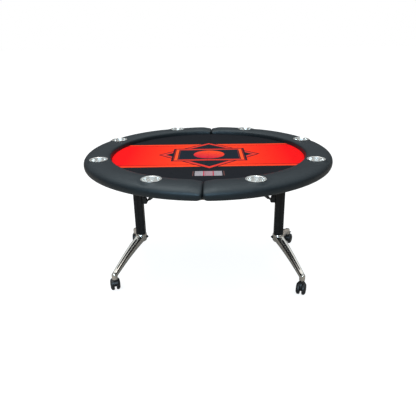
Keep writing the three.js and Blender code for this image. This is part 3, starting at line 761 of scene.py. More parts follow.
@dataclass(frozen=True)
class PlayingCloth(Finish):
    """Printed speed cloth with a fine weave."""

    name: str = "printed playing cloth"
    colour: Colour = tone("e03020")
    roughness: float = 0.86
    specular: float = 0.08
    relief: Feel = Feel.MARKED
    depth: float = 0.00025

    def surface(self, graph: Graph, place: bpy.types.NodeSocket) -> dict[str, Given]:
        """Print under a woven relief, darkened by painted shade in the low parts of the weave, with a little
        unevenness in the ink.
        """
        printed = graph.shared(TablePrint.tree(), {"Vector": place}).outputs
        woven = graph.shared(Weave.tree(), {"Vector": place, "Pitch": 0.0011}).outputs
        # Painted shade of the weave, times the real unevenness of the ink.
        shade = graph.maths("MULTIPLY", woven["Painted shade"], printed["Ink"])
        shaded = graph.put(
            "VectorMath", {0: printed["Colour"], "Scale": shade}, operation="SCALE",
        ).outputs[0]
        nap = graph.noise(place, 900.0, 2.0, 0.5)
        height = graph.maths("MULTIPLY_ADD", nap, 0.4, woven["Height"])
        rough = graph.span(woven["Height"], 0.0, 1.0, 0.93, 0.82)
        return {"Base Color": shaded, "Roughness": rough, "Height": height}


@dataclass(frozen=True)
class Metal(Finish):
    """Bare metal with drawn lines and a change of gloss."""

    metallic: float = 1.0
    # Brighter colour painted on sharp edges as a highlight.
    edge_highlight: Colour = (0.9, 0.9, 0.9)
    gloss: tuple[float, float] = (0.1, 0.2)
    drawn: tuple[float, float, float] = (300.0, 300.0, 300.0)
    cloud: float = 14.0
    relief: Feel = Feel.SMOOTH

    def surface(self, graph: Graph, place: bpy.types.NodeSocket) -> dict[str, Given]:
        """Drawn lines along one way, clouds in the gloss, and brighter edges that are a painted highlight."""
        low, high = self.gloss
        smudge = graph.shared(
            Smudges.tree(), {"Vector": place, "Scale": self.cloud, "Low": low, "High": high},
        ).outputs
        lines = graph.noise(graph.vector("MULTIPLY", place, self.drawn), 1.0, 4.0, 0.6)
        wear = graph.shared(EdgeWearAndHighlight.tree(), {"Vector": place, "Amount": 0.5}).outputs["Mask"]
        dull = tuple(c * 0.86 for c in self.colour)
        base = graph.mix(smudge["Cloud"], self.colour, dull)
        base = graph.mix(graph.maths("MULTIPLY", graph.span(lines, 0.35, 0.65), 0.25), base, dull)
        rough = graph.maths("ADD", smudge["Gloss"], graph.span(lines, 0.3, 0.7, -0.02, 0.03))
        # Painted highlight: sharp edges are lightened towards a brighter colour.
        return {"Base Color": graph.mix(wear, base, self.edge_highlight), "Roughness": rough, "Height": lines}


@dataclass(frozen=True)
class Spangled(Metal):
    """Zinc plate with its crystal pattern."""

    def surface(self, graph: Graph, place: bpy.types.NodeSocket) -> dict[str, Given]:
        """Crystals of slightly different brightness over the bare metal."""
        found = super().surface(graph, place)
        crystals = graph.put("TexVoronoi", {"Vector": place, "Scale": 170.0}).outputs["Color"]
        tint = graph.span(graph.put("SeparateXYZ", {0: crystals}).outputs[0], 0.0, 1.0, 0.0, 0.35)
        found["Base Color"] = graph.mix(tint, found["Base Color"], tone("7d8288"))
        return found


@dataclass(frozen=True)
class Coated(Finish):
    """Painted, powder-coated or moulded surface with fine texture, dust and rubbed edges."""

    texture: float = 900.0
    gloss: tuple[float, float] = (0.38, 0.5)
    rubbed: Colour = tone("4a4b4e")
    wear: float = 0.35
    dust: float = 0.12
    dust_colour: Colour = tone("8a8780")
    brushed: tuple[float, float, float] = (1.0, 1.0, 1.0)

    def surface(self, graph: Graph, place: bpy.types.NodeSocket) -> dict[str, Given]:
        """Orange-peel relief with a painted highlight on its raised bumps, cloudy gloss, paler rubbed edges and
        dust.
        """
        low, high = self.gloss
        stretched = graph.vector("MULTIPLY", place, self.brushed)
        peel = graph.noise(stretched, self.texture, 3.0, 0.55)
        smudge = graph.shared(
            Smudges.tree(), {"Vector": place, "Scale": 12.0, "Low": low, "High": high},
        ).outputs
        wear = graph.shared(EdgeWearAndHighlight.tree(), {"Vector": place, "Amount": self.wear}).outputs["Mask"]
        dust = graph.shared(Dust.tree(), {"Vector": place, "Amount": self.dust}).outputs["Mask"]
        # Painted highlight: the colour is lightened where the orange peel rises.
        peel_highlight = tuple(min(c * 1.5 + 0.002, 1.0) for c in self.colour)
        base = graph.mix(graph.maths("MULTIPLY", graph.span(peel, 0.3, 0.7), 0.6), self.colour, peel_highlight)
        base = graph.mix(wear, base, self.rubbed)
        base = graph.mix(dust, base, self.dust_colour)
        rough = graph.maths("MULTIPLY_ADD", dust, 0.35, smudge["Gloss"], clamp=True)
        return {"Base Color": base, "Roughness": rough, "Height": peel}


@dataclass(frozen=True)
class Plywood(Finish):
    """Birch plywood: grain on the faces and plies on the edges, with an optional dark face."""

    name: str = "birch plywood"
    colour: Colour = tone("c9a878")
    roughness: float = 0.6
    relief: Feel = Feel.SOFT
    ply: float = 0.0014
    dark_face: bool = False

    def surface(self, graph: Graph, place: bpy.types.NodeSocket) -> dict[str, Given]:
        """Long grain on the faces, alternating plies on the edges."""
        grain = graph.noise(graph.vector("MULTIPLY", place, (60.0, 5.0, 60.0)), 1.0, 6.0, 0.6)
        pores = graph.noise(graph.vector("MULTIPLY", place, (900.0, 70.0, 900.0)), 1.0, 3.0, 0.7)
        face = graph.mix(graph.span(grain, 0.3, 0.7), tone("d3b486"), tone("b48f5f"))
        face = graph.mix(graph.maths("MULTIPLY", graph.span(pores, 0.5, 0.7), 0.4), face, tone("8f6c42"))
        height = graph.put("SeparateXYZ", {0: place}).outputs[2]
        layer = graph.maths("PINGPONG", height, self.ply)
        plies = graph.mix(graph.span(layer, 0.3 * self.ply, 0.7 * self.ply), tone("c8a473"), tone("7d5a35"))
        normal = graph.put("SeparateXYZ", {0: graph.put("NewGeometry").outputs["Normal"]}).outputs[2]
        flat = graph.span(graph.maths("ABSOLUTE", normal), 0.4, 0.7)
        base = graph.mix(flat, plies, face)
        rough: Given = graph.span(grain, 0.3, 0.7, 0.52, 0.68)
        if self.dark_face:
            mottle = graph.noise(place, 300.0, 4.0, 0.7)
            black = graph.mix(graph.span(mottle, 0.35, 0.7), tone("141416"), tone("1f1f22"))
            base = graph.mix(flat, graph.mix(0.75, plies, tone("1a1613")), black)
        return {"Base Color": base, "Roughness": rough, "Height": pores}


@dataclass(frozen=True)
class Tread(Coated):
    """Wheel tyre, greyer where it has rolled."""

    def surface(self, graph: Graph, place: bpy.types.NodeSocket) -> dict[str, Given]:
        """Coated surface with scuffed patches."""
        found = super().surface(graph, place)
        scuffs = graph.span(graph.noise(place, 95.0, 6.0, 0.75), 0.5, 0.68, 0.0, 0.5)
        found["Base Color"] = graph.mix(scuffs, found["Base Color"], tone("4c4b49"))
        return found


LEATHERETTE = Leatherette()
CLOTH = PlayingCloth()
PLYWOOD = Plywood()
UNDERSIDE = Plywood(name="black underside", colour=tone("17171a"), dark_face=True, roughness=0.55)
CUP_STEEL = Metal(
    "brushed cup steel", tone("f0ebe4"), metallic=0.78, gloss=(0.22, 0.31), drawn=(60.0, 60.0, 1500.0),
    edge_highlight=tone("fbf8f4"),
)
ALLOY = Metal(
    "polished alloy", tone("e6dfd5"), gloss=(0.15, 0.24), drawn=(220.0, 220.0, 220.0), edge_highlight=tone("efeeec"),
)
CHROME = Metal(
    "chromed rod", tone("d5d8db"), gloss=(0.05, 0.1), drawn=(500.0, 500.0, 500.0), edge_highlight=tone("f0f0f0"),
)
ZINC = Spangled("zinc plate", tone("a3a7ab"), gloss=(0.28, 0.42), edge_highlight=tone("c4c7ca"))
POWDER = Coated("black powder coat", tone("0c0d0f"), texture=650.0, gloss=(0.4, 0.52), relief=Feel.MARKED)
COLUMN = Coated(
    "satin black column", tone("08090a"), texture=900.0, gloss=(0.3, 0.4), wear=0.15, dust=0.04,
    specular=0.22, brushed=(1.0, 1.0, 0.03), coat=0.1,
)
STRUT_PAINT = Coated(
    "gloss black tube", tone("0a0c0f"), texture=400.0, gloss=(0.2, 0.3), dust=0.05, coat=0.6,
    coat_roughness=0.1,
)
INLAY = Coated("gloss black inlay", tone("060607"), texture=1600.0, gloss=(0.34, 0.46), wear=0.1, dust=0.04)
NYLON = Coated(
    "black nylon", tone("0a0b0c"), texture=1400.0, gloss=(0.3, 0.42), dust=0.08, relief=Feel.MARKED,
)
TREAD = Tread(
    "wheel tread", tone("0e0f10"), texture=1100.0, gloss=(0.38, 0.5), dust=0.18, relief=Feel.MARKED,
)


# ------------------------------------------------------------------ shared sizes and small parts

JOINTS = {joint["name"]: joint for joint in frame["joints"]}
SLOTS = {row["node"]: row["material_slot"] for row in frame["record"]["subparts"]}


def joint_at(name: str) -> Vector:
    """Where a joint stands at rest."""
    return Vector(JOINTS[name]["pos_m"])


def local_box(name: str) -> tuple[Vector, Vector]:
    """Lowest and highest corner of a left node, named without its side."""
    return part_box(f"left_{name}")


def along_y(x: float, z: float) -> Matrix:
    """Frame whose Z is the line along Y through x and z, with its X pointing up."""
    return Matrix.Translation((x, 0.0, z)) @ Matrix.Rotation(-math.pi / 2, 4, "X")


def upright(y_high: float, at: Matrix | None = None) -> Matrix:
    """Frame for outlines in X and Z that grow towards negative Y from y_high."""
    turned = Matrix(((1, 0, 0, 0), (0, 0, -1, y_high), (0, 1, 0, 0), (0, 0, 0, 1)))
    return (at or Matrix.Identity(4)) @ turned


def pin_profile(radius: float, low: float, high: float, ease: float = 0.5 * MM) -> list[Point2]:
    """Profile of a short bar with eased ends."""
    return [
        (0.0, low), (radius - ease, low), (radius, low + ease), (radius, high - ease),
        (radius - ease, high), (0.0, high),
    ]


def headed_pin(radius: float, head: float, face: float, thick: float) -> list[Point2]:
    """Profile of a pin with a head at each end, face being where the heads begin."""
    ease = 0.8 * MM
    top = [
        (0.0, face + thick), (head * 0.55, face + thick), (head * 0.62, face + thick - ease),
        (head - 2 * ease, face + thick - ease), (head, face + thick - 3 * ease), (head, face + ease / 2),
        (head - ease / 2, face), (radius, face),
    ]
    return [(r, -z) for r, z in top] + list(reversed(top))


def welded(
    name: str, works: Sequence[Workpiece], finish: bpy.types.Material, crease: float = CREASE,
) -> bpy.types.Object:
    """Join closed shapes into one clean closed piece.

    Args:
        name: the piece's name.
        works: its shapes, which overlap where they join.
        finish: its material.
        crease: angle in degrees above which an edge stays sharp.

    Returns:
        The joined object.
    """
    piece, *rest = [work.done(f"{name}.{k}" if k else name, finish, crease) for k, work in enumerate(works)]
    combine(piece, rest, "UNION")
    piece.data.set_sharp_from_angle(angle=math.radians(crease))
    return piece


def refined(
    node: str, name: str, finish: bpy.types.Material, ease: float, crease: float = CREASE,
) -> bpy.types.Object:
    """Copy of a CAD node's mesh as a new piece, cleaned and with its edges eased.

    Args:
        node: the CAD node.
        name: the new piece's name.
        finish: its material.
        ease: how much its edges are rounded.
        crease: angle in degrees above which an edge is rounded.

    Returns:
        The new object.
    """
    bm = bmesh.new()
    bm.from_mesh(frame["nodes"][node].data)
    bmesh.ops.remove_doubles(bm, verts=bm.verts, dist=0.01 * MM)
    bmesh.ops.dissolve_limit(bm, angle_limit=math.radians(1.0), verts=bm.verts, edges=bm.edges)
    sharp = [e for e in bm.edges if e.is_manifold and e.calc_face_angle(0.0) > math.radians(crease)]
    bmesh.ops.bevel(
        bm, geom=sharp, offset=ease, offset_type="OFFSET", segments=2, profile=0.6, affect="EDGES",
        clamp_overlap=True,
    )
    bmesh.ops.recalc_face_normals(bm, faces=bm.faces)
    mesh = bpy.data.meshes.new(name)
    bm.to_mesh(mesh)
    bm.free()
    return dressed(name, mesh, finish, STEEL_CREASE)


def button_head(work: Workpiece, at: Matrix, radius: float, height: float) -> None:
    """Domed screw head with a six-sided recess, standing on the XY plane of a frame."""
    count, across = 24, radius * 0.42
    turns = [2 * math.pi * k / count for k in range(count)]

    def circle(r: float, z: float) -> list[Vector]:
        """Round ring."""
        return [at @ polar(r, a, z) for a in turns]

    def hexagon(z: float) -> list[Vector]:
        """Six-sided ring."""
        sixth = math.pi / 3
        reach = [across / math.cos((a % sixth) - sixth / 2) for a in turns]
        return [at @ polar(r, a, z) for r, a in zip(reach, turns)]

    dome = [
        circle(radius * math.cos(t), height * (0.25 + 0.75 * math.sin(t))) for t in (0.0, 0.35, 0.7, 1.0)
    ]
    work.rings([circle(radius * 0.97, 0.0), *dome, hexagon(height * 0.98), hexagon(height * 0.4)])


@dataclass
class SubAssembly:
    """Anything built for one side of the table, modelled as the left one and turned into place."""

    side: Side

    def work(self, at: Matrix | None = None) -> Workpiece:
        """New workpiece already turned to this side."""
        return Workpiece(self.side.turn @ (at or Matrix.Identity(4)))

    def named(self, name: str) -> str:
        """Name with this side's prefix."""
        return f"{self.side.value}_{name}"

    def fit(self, piece: bpy.types.Object, body: str, node: str) -> bpy.types.Object:
        """Ride a piece on one of this side's bodies in place of one of its nodes."""
        full = self.named(node)
        return fitted(piece, self.named(body), SLOTS[full], full)

    def refit(self, node: str, name: str, finish: Finish, ease: float, body: str = "top") -> None:
        """Ride a cleaned copy of one of this side's nodes in its place."""
        self.fit(refined(self.named(node), self.named(name), finish.build(), ease), body, node)

    def extra(
        self, work: Workpiece, name: str, finish: Finish, body: str, slot: str, crease: float = CREASE,
    ) -> None:
        """Ride a piece that stands for no node on one of this side's bodies."""
        fitted(work.done(self.named(name), finish.build(), crease), self.named(body), slot)


# ------------------------------------------------------------------ half top


def smooth(t: float) -> float:
    """Smooth rise from 0 to 1."""
    t = min(max(t, 0.0), 1.0)
    return t * t * (3 - 2 * t)


@dataclass
class RailCushion(SubAssembly):
    """Padded armrest of one half, filled by a cloth simulation and bored for its cups."""

    width: float = 148 * MM
    wood_radius: float = 652.3 * MM
    wood_in: float = 551.7 * MM
    wood_top: float = 714.6 * MM
    seat: float = 696.3 * MM
    half_gap: float = 0.7 * MM
    end_cover: float = 9.5 * MM
    end_round: float = 13 * MM
    lip_end_round: float = 22 * MM
    lip_reach: float = 34 * MM
    end_drop: float = 9 * MM
    end_drop_reach: float = 62 * MM
    belly: float = 27 * MM
    fullness: float = 0.86
    under_fullness: float = 0.62
    inner_round: float = 25 * MM
    slack: float = 0.8 * MM
    cap: float = 3.4 * MM
    bore: float = 43 * MM
    top_points: int = 44
    stations: int = 188
    frames: int = 20
    seat_reach: float = 62 * MM
    seat_ease: float = 15 * MM
    circle: float = 608 * MM
    angles: tuple[float, ...] = (112.5, 157.5, 202.5, 247.5)

    def cup_centres(self) -> list[Vector]:
        """Plan centres of the four cups in the left half's place."""
        return [polar(self.circle, math.radians(a)) for a in self.angles]

    def contour(self) -> tuple[list[Point2], list[Point2]]:
        """Top path from the inner edge over the crown to the lip, and the path back under it."""
        low, high = local_box("rail_cushion")
        outer, base, top = -low.x, low.z, high.z
        inner = outer - self.width
        belly = base + self.belly
        crown = inner + 0.45 * self.width
        across, tall = outer - crown, top - belly
        roll = [
            (crown + across * math.sin(a) ** self.fullness, belly + tall * math.cos(a) ** self.fullness)
            for a in (math.pi / 2 * k / 20 for k in range(21))
        ]
        tuck = outer - self.wood_radius - 2 * MM
        under_roll = [
            (
                outer - tuck * (1 - math.cos(a) ** self.under_fullness),
                belly - self.belly * math.sin(a) ** self.under_fullness,
            ) for a in (math.pi / 2 * k / 10 for k in range(1, 11))
        ]
        rise: list[Corner] = [
            (inner + 1.0 * MM, self.seat, 0.0),
            (inner, top - 30 * MM, 20 * MM),
            (inner + 3 * MM, top - 5 * MM, self.inner_round),
            (crown, top, 0.0),
        ]
        path = fillet(rise, steps=12)[:-1] + roll + under_roll + [(self.wood_radius, base)]
        over = resample(path, self.top_points)
        under = [(self.wood_radius, base + 6 * MM), (self.wood_radius, self.seat)]
        steps = 11
        under += [
            (self.wood_radius + (inner + 1.0 * MM - self.wood_radius) * k / steps, self.seat)
            for k in range(1, steps)
        ]
        return over, under

    def spread(self) -> list[float]:
        """Distances from one cut end to the other, closer together at the ends."""
        near = [0.0, 0.35, 1.0, 2.0, 3.5, 5.5, 8.0, 11.0, 15.0, 20.0, 27.0, 35.0]
        near = [d * MM for d in near]
        whole = math.pi * self.circle
        count = self.stations - 2 * len(near)
        middle = [near[-1] + (whole - 2 * near[-1]) * k / (count + 1) for k in range(1, count + 1)]
        return [d / whole for d in [*near, *middle, *[whole - d for d in reversed(near)]]]

    def seated(self, x: float, y: float, height: float, top: float) -> float:
        """Height of the cover with a level seat under the rim of each cup."""
        near = min(math.hypot(x - c.x, y - c.y) for c in self.cup_centres())
        level = smooth((self.seat_reach - near) / self.seat_ease)
        return height + (top - 0.5 * MM - height) * level

    def rings(self) -> list[list[Vector]]:
        """Section rings of the slack cover, from one cut end to the other."""
        over, under = self.contour()
        loop = over + under
        tucked = inset(loop, 1.0)
        pull = [(tx - x, tz - z) for (x, z), (tx, tz) in zip(loop, tucked)]
        low, high = local_box("rail_cushion")
        whole = math.pi * self.circle
        rings = []
        for t in self.spread():
            away = min(t, 1 - t) * whole
            bite = rounded_off(away, self.end_round)
            lip_bite = rounded_off(away, self.lip_end_round)
            drop = self.end_drop * (1 - smooth(away / self.end_drop_reach))
            ring = []
            for k, ((x, z), (px, pz)) in enumerate(zip(loop, pull)):
                share = 1.0 if k < len(over) - 1 else 0.3
                near_lip = smooth(
                    (self.lip_reach - (z - low.z)) / self.lip_reach
                ) if x > self.circle else 0.0
                depth = share * (bite + near_lip * (lip_bite - bite)) + (
                    self.slack if 2 < k < len(over) - 3 else 0.0
                )
                radius, height = x + px * depth, z + pz * depth
                start = math.pi / 2 + math.asin(self.half_gap / radius)
                angle = start + t * (2 * math.pi - 2 * start)
                lift = min(max((height - self.seat) / (high.z - self.seat), 0.0), 1.0)
                height -= drop * lift**1.5
                if k > 6 and lift > 0.6:
                    height = self.seated(radius * math.cos(angle), radius * math.sin(angle), height, high.z)
                ring.append(polar(radius, angle, height))
            rings.append(ring)
        return rings

    def fill(self, piece: bpy.types.Object) -> None:
        """Blow the cover up with a short cloth simulation, held along its underside, ends and cups."""
        mesh = piece.data
        start = [vert.co.copy() for vert in mesh.vertices]
        count = self.top_points + 12
        back = self.side.turn.inverted()
        centres = self.cup_centres()
        held = piece.vertex_groups.new(name="held")
        for index, co in enumerate(start):
            station, k = divmod(index, count)
            plan = back @ co
            near_cup = min(math.hypot(plan.x - c.x, plan.y - c.y) for c in centres)
            on_edge = k >= self.top_points - 2 or k < 3 or station in (0, self.stations - 1)
            if on_edge or near_cup < self.bore + 12 * MM:
                held.add([index], 1.0, "REPLACE")
        cloth = piece.modifiers.new("filling", "CLOTH")
        settings = cloth.settings
        settings.quality = 4
        settings.mass = 0.35
        settings.tension_stiffness = settings.compression_stiffness = 22
        settings.shear_stiffness = 12
        settings.bending_stiffness = 3
        settings.use_pressure = True
        settings.uniform_pressure_force = 4
        settings.vertex_group_mass = "held"
        settings.effector_weights.gravity = 0
        cloth.collision_settings.use_self_collision = False
        cloth.point_cache.frame_start, cloth.point_cache.frame_end = 1, self.frames
        for step in range(1, self.frames + 1):
            bpy.context.scene.frame_set(step)
        graph = bpy.context.evaluated_depsgraph_get()
        blown = [vert.co.copy() for vert in piece.evaluated_get(graph).data.vertices]
        piece.modifiers.clear()
        bpy.context.scene.frame_set(1)
        for vert, old, new in zip(mesh.vertices, start, blown):
            move = new - old
            if move.length > self.cap:
                move *= self.cap / move.length
            vert.co = old + move

    def cutters(self, finish: bpy.types.Material) -> list[bpy.types.Object]:
        """Bores of the cups and the pocket that holds the wooden ring."""
        tools = []
        for k, centre in enumerate(self.cup_centres()):
            bore = self.work().revolve(pin_profile(self.bore, 0.66, 0.80), Matrix.Translation(centre), 64)
            tools.append(bore.done(f"bore{k}", finish))
        start = self.half_gap + self.end_cover
        section = [
            (self.wood_in, 0.68), (self.wood_radius, 0.68), (self.wood_radius, self.wood_top),
            (self.wood_in, self.wood_top),
        ]
        rings = []
        steps = 96
        for k in range(steps + 1):
            ring = []
            for radius, z in section:
                first = math.pi / 2 + math.asin(start / radius)
                angle = first + (2 * math.pi - 2 * first) * k / steps
                ring.append(polar(radius, angle, z))
            rings.append(ring)
        tools.append(self.work().rings(rings).done("pocket", finish))
        return tools

    def build(self) -> bpy.types.Object:
        """Make, fill, bore and dress the cushion."""
        finish = LEATHERETTE.build()
        piece = self.work().rings(self.rings()).done(self.named("rail_cushion_pad"), finish, 60.0)
        self.fill(piece)
        soften = piece.modifiers.new("soften", "SUBSURF")
        soften.levels = soften.render_levels = 1
        settle(piece)
        combine(piece, self.cutters(finish))
        shade(piece.data, 50.0)
        self.fit(piece, "top", "rail_cushion")
        return piece


@dataclass
class RailHem(SubAssembly):
    """Edge of the leatherette turned under the board, with its staples."""

    outer: float = 655 * MM
    inner: float = 634 * MM
    thick: float = 0.8 * MM
    start: float = 90.8
    sweep: float = 178.4
    steps: int = 220
    staples: int = 58
    staple_circle: float = 644 * MM

    def build(self) -> None:
        """Make the hem and its staples."""
        low, _ = local_box("base_board")
        high = low.z - 0.05 * MM
        rings = []
        for k in range(self.steps + 1):
            angle = math.radians(self.start + self.sweep * k / self.steps)
            wave = 2.2 * MM * math.sin(angle * 37) * math.sin(
                angle * 11 + 1
            ) + 0.8 * MM * math.sin(angle * 91)
            section = [
                (self.outer, high), (self.inner + wave, high), (self.inner + wave, high - self.thick),
                (self.outer, high - self.thick),
            ]
            rings.append([polar(r, angle, z) for r, z in section])
        hem = self.work().rings(rings).done(self.named("rail_hem"), LEATHERETTE.build())
        fitted(hem, self.named("top"), "leatherette")
        work = self.work()
        wire = 0.5 * MM
        for k in range(self.staples):
            angle = math.radians(92.0 + 176.0 * k / (self.staples - 1))
            tilt = 0.25 * math.sin(k * 2.3)
            at = Matrix.Rotation(angle, 4, "Z") @ Matrix.Translation(
                (self.staple_circle, 0, high - self.thick)
            ) @ Matrix.Rotation(tilt, 4, "Z")
            bar = rounded_box(wire, 5 * MM, wire, 2)
            work.prism(bar, at @ Matrix.Translation((0, 0, -wire)), 2 * wire, 0.2 * MM)
        self.extra(work, "hem_staples", ZINC, "top", "zinc")


@dataclass
class DropInCup(SubAssembly):
    """Pressed steel cup whose rolled rim lies on the rail."""

    place: str = "inner"
    local_end: int = -1
    wall: float = 1.3 * MM
    steps: int = 72

    def build(self) -> bpy.types.Object:
        """Turn the cup and dress it."""
        name = f"{self.side.end_name(self.local_end)}_{self.place}_cup"
        node = self.named(name)
        low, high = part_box(node)
        middle = (low + high) / 2
        flange = (high.x - low.x) / 2
        top, bottom = high.z, low.z
        radius = flange - 5.5 * MM
        inner = radius - self.wall
        rim = [
            (radius, top - 2.6 * MM), (radius + 0.6 * MM, top - 1.7 * MM),
            (flange - 1.2 * MM, top - 1.5 * MM), (flange - 0.2 * MM, top - 1.2 * MM),
            (flange, top - 0.7 * MM), (flange - 0.3 * MM, top - 0.15 * MM), (flange - 1.3 * MM, top),
            (inner + 2.2 * MM, top), (inner + 0.7 * MM, top - 0.5 * MM), (inner, top - 2.0 * MM),
        ]
        well = [
            (inner, bottom + 7 * MM), (inner - 0.6 * MM, bottom + 4.2 * MM),
            (inner - 2.4 * MM, bottom + 2.0 * MM), (inner - 5.0 * MM, bottom + 1.3 * MM),
            (inner - 11 * MM, bottom + 1.3 * MM), (inner - 12.5 * MM, bottom + 2.1 * MM),
            (inner - 15 * MM, bottom + 2.3 * MM), (0.0, bottom + 2.3 * MM),
        ]
        back = [
            (0.0, bottom), (radius - 5 * MM, bottom), (radius - 2 * MM, bottom + 1.0 * MM),
            (radius, bottom + 4.0 * MM),
        ]
        work = Workpiece().revolve(
            back + rim + well, Matrix.Translation((middle.x, middle.y, 0)), self.steps,
        )
        piece = work.done(node + "_pressing", CUP_STEEL.build(), 50.0)
        return self.fit(piece, "top", name)


@dataclass
class PlayingSurface(SubAssembly):
    """Cloth over the wooden boards of one half."""

    half_gap: float = 0.15 * MM
    edge: float = 1.0 * MM
    rows: int = 150
    columns: int = 76

    def cloth_rings(self) -> list[list[Vector]]:
        """Closed strips across the half disc, with rounded rims."""
        low, high = local_box("playing_cloth")
        radius = -low.x
        turn = [math.pi * (k + 0.02) / (self.rows - 0.96) for k in range(self.rows)]
        rings = []
        for a in turn:
            y = -radius * math.cos(a)
            reach = math.sqrt(max(radius**2 - y**2, (1.2 * MM) ** 2))
            over, under = [], []
            for k in range(self.columns):
                share = (1 - math.cos(math.pi * k / (self.columns - 1))) / 2
                x = self.half_gap + (reach - self.half_gap) * share
                away = min(x - self.half_gap, radius - math.hypot(x, y))
                fall = rounded_off(away, self.edge)
                ripple = 0.12 * MM * math.sin(x * 31 + 1.3 * math.sin(y * 17)) * math.sin(y * 23 + 0.7)
                over.append(Vector((-x, y, high.z - 0.15 * MM - fall + ripple)))
                under.append(Vector((-x, y, low.z)))
            rings.append(over + list(reversed(under)))
        return rings

    def half_board(
        self, node: str, name: str, finish: bpy.types.Material, steps: int = 160,
    ) -> bpy.types.Object:
        """Half-round board with eased rims in place of a node."""
        low, high = local_box(node)
        radius = -low.x
        first = math.pi / 2 + math.asin(self.half_gap / radius)
        turns = [first + (2 * math.pi - 2 * first) * k / steps for k in range(steps + 1)]
        outline = [(radius * math.cos(a), radius * math.sin(a)) for a in turns]
        piece = self.work().prism(outline, Matrix.Translation((0, 0, low.z)), high.z - low.z, 0.7 * MM)
        return self.fit(piece.done(self.named(name), finish, 25.0), "top", node)

    def build(self) -> None:
        """Make the cloth and the boards under it."""
        cloth = self.work().rings(self.cloth_rings()).done(
            self.named("playing_cloth_sheet"), CLOTH.build(), 60.0,
        )
        self.fit(cloth, "top", "playing_cloth")
        self.half_board("base_board", "base_board_panel", UNDERSIDE.build())
        board = self.half_board("play_board", "play_board_panel", PLYWOOD.build())
        self.refit("rail_board", "rail_board_ring", PLYWOOD, 0.5 * MM)


@dataclass
class UnderFrame(SubAssembly):
    """Welded frame under one half, its screws and the bolt it folds on."""

    rail_y: float = 62 * MM
    lug_x: float = -58 * MM
    screw_rows: tuple[float, ...] = (-0.515, -0.33, -0.19, -0.09)
    screw_y: float = 96 * MM

    def weld_bead(self, work: Workpiece, start: Vector, end: Vector, radius: float = 2.2 * MM) -> None:
        """Rippled fillet of weld between two points."""
        run = end - start
        at = axis_frame(start, run)
        count = max(int(run.length / (1.6 * MM)), 6)
        profile = [(0.0, 0.0)]
        for k in range(1, count):
            taper = min(k, count - k, 4) / 4
            profile.append((radius * taper * (1 + 0.16 * math.cos(k * math.pi)), run.length * k / count))
        profile.append((0.0, run.length))
        work.revolve(profile, at, 10)

    def build(self) -> None:
        """Make the frame, its weld beads, screws and fold bolt."""
        self.refit("sub_frame", "sub_frame_weldment", POWDER, 1.3 * MM)
        low, high = local_box("sub_frame")
        beads = self.work()
        for end in (-1, 1):
            for x, fall in ((low.x + 40 * MM, 14 * MM), (self.lug_x, 30 * MM)):
                spot = Vector((x, end * self.rail_y, high.z - 1 * MM))
                self.weld_bead(beads, spot, spot - Vector((0, 0, fall - 1 * MM)))
            for x, fall, span in ((low.x, 14 * MM, 40 * MM), (self.lug_x, 30 * MM, 24 * MM)):
                spot = Vector((x + 2 * MM, end * self.rail_y, high.z - fall))
                self.weld_bead(beads, spot, spot + Vector((span - 4 * MM, 0, 0)))
        self.extra(beads, "frame_welds", POWDER, "top", "black_metal", 70.0)
        screws = self.work()
        for x in self.screw_rows:
            for end in (-1, 1):
                at = Matrix.Translation(
                    (x, end * self.screw_y, high.z + 0.3 * MM)
                ) @ Matrix.Rotation(math.pi, 4, "X")
                tab = rounded_box(9 * MM, 9 * MM, 3 * MM)
                screws.prism(tab, at, 2 * MM, 0.4 * MM)
                button_head(screws, at @ Matrix.Translation((0, 0, 2 * MM)), 4.2 * MM, 2.6 * MM)
        self.extra(screws, "frame_screws", ZINC, "top", "zinc", STEEL_CREASE)
        _, pin_high = local_box("column_pin")
        spot = joint_at("left_fold")
        face = pin_high.y - 6 * MM
        bolt = self.work().revolve(headed_pin(8 * MM, 13 * MM, face, 6 * MM), along_y(spot.x, spot.z), 40)
        self.fit(bolt.done(self.named("column_pin_bolt"), ZINC.build(), STEEL_CREASE), "top", "column_pin")


# ------------------------------------------------------------------ legs


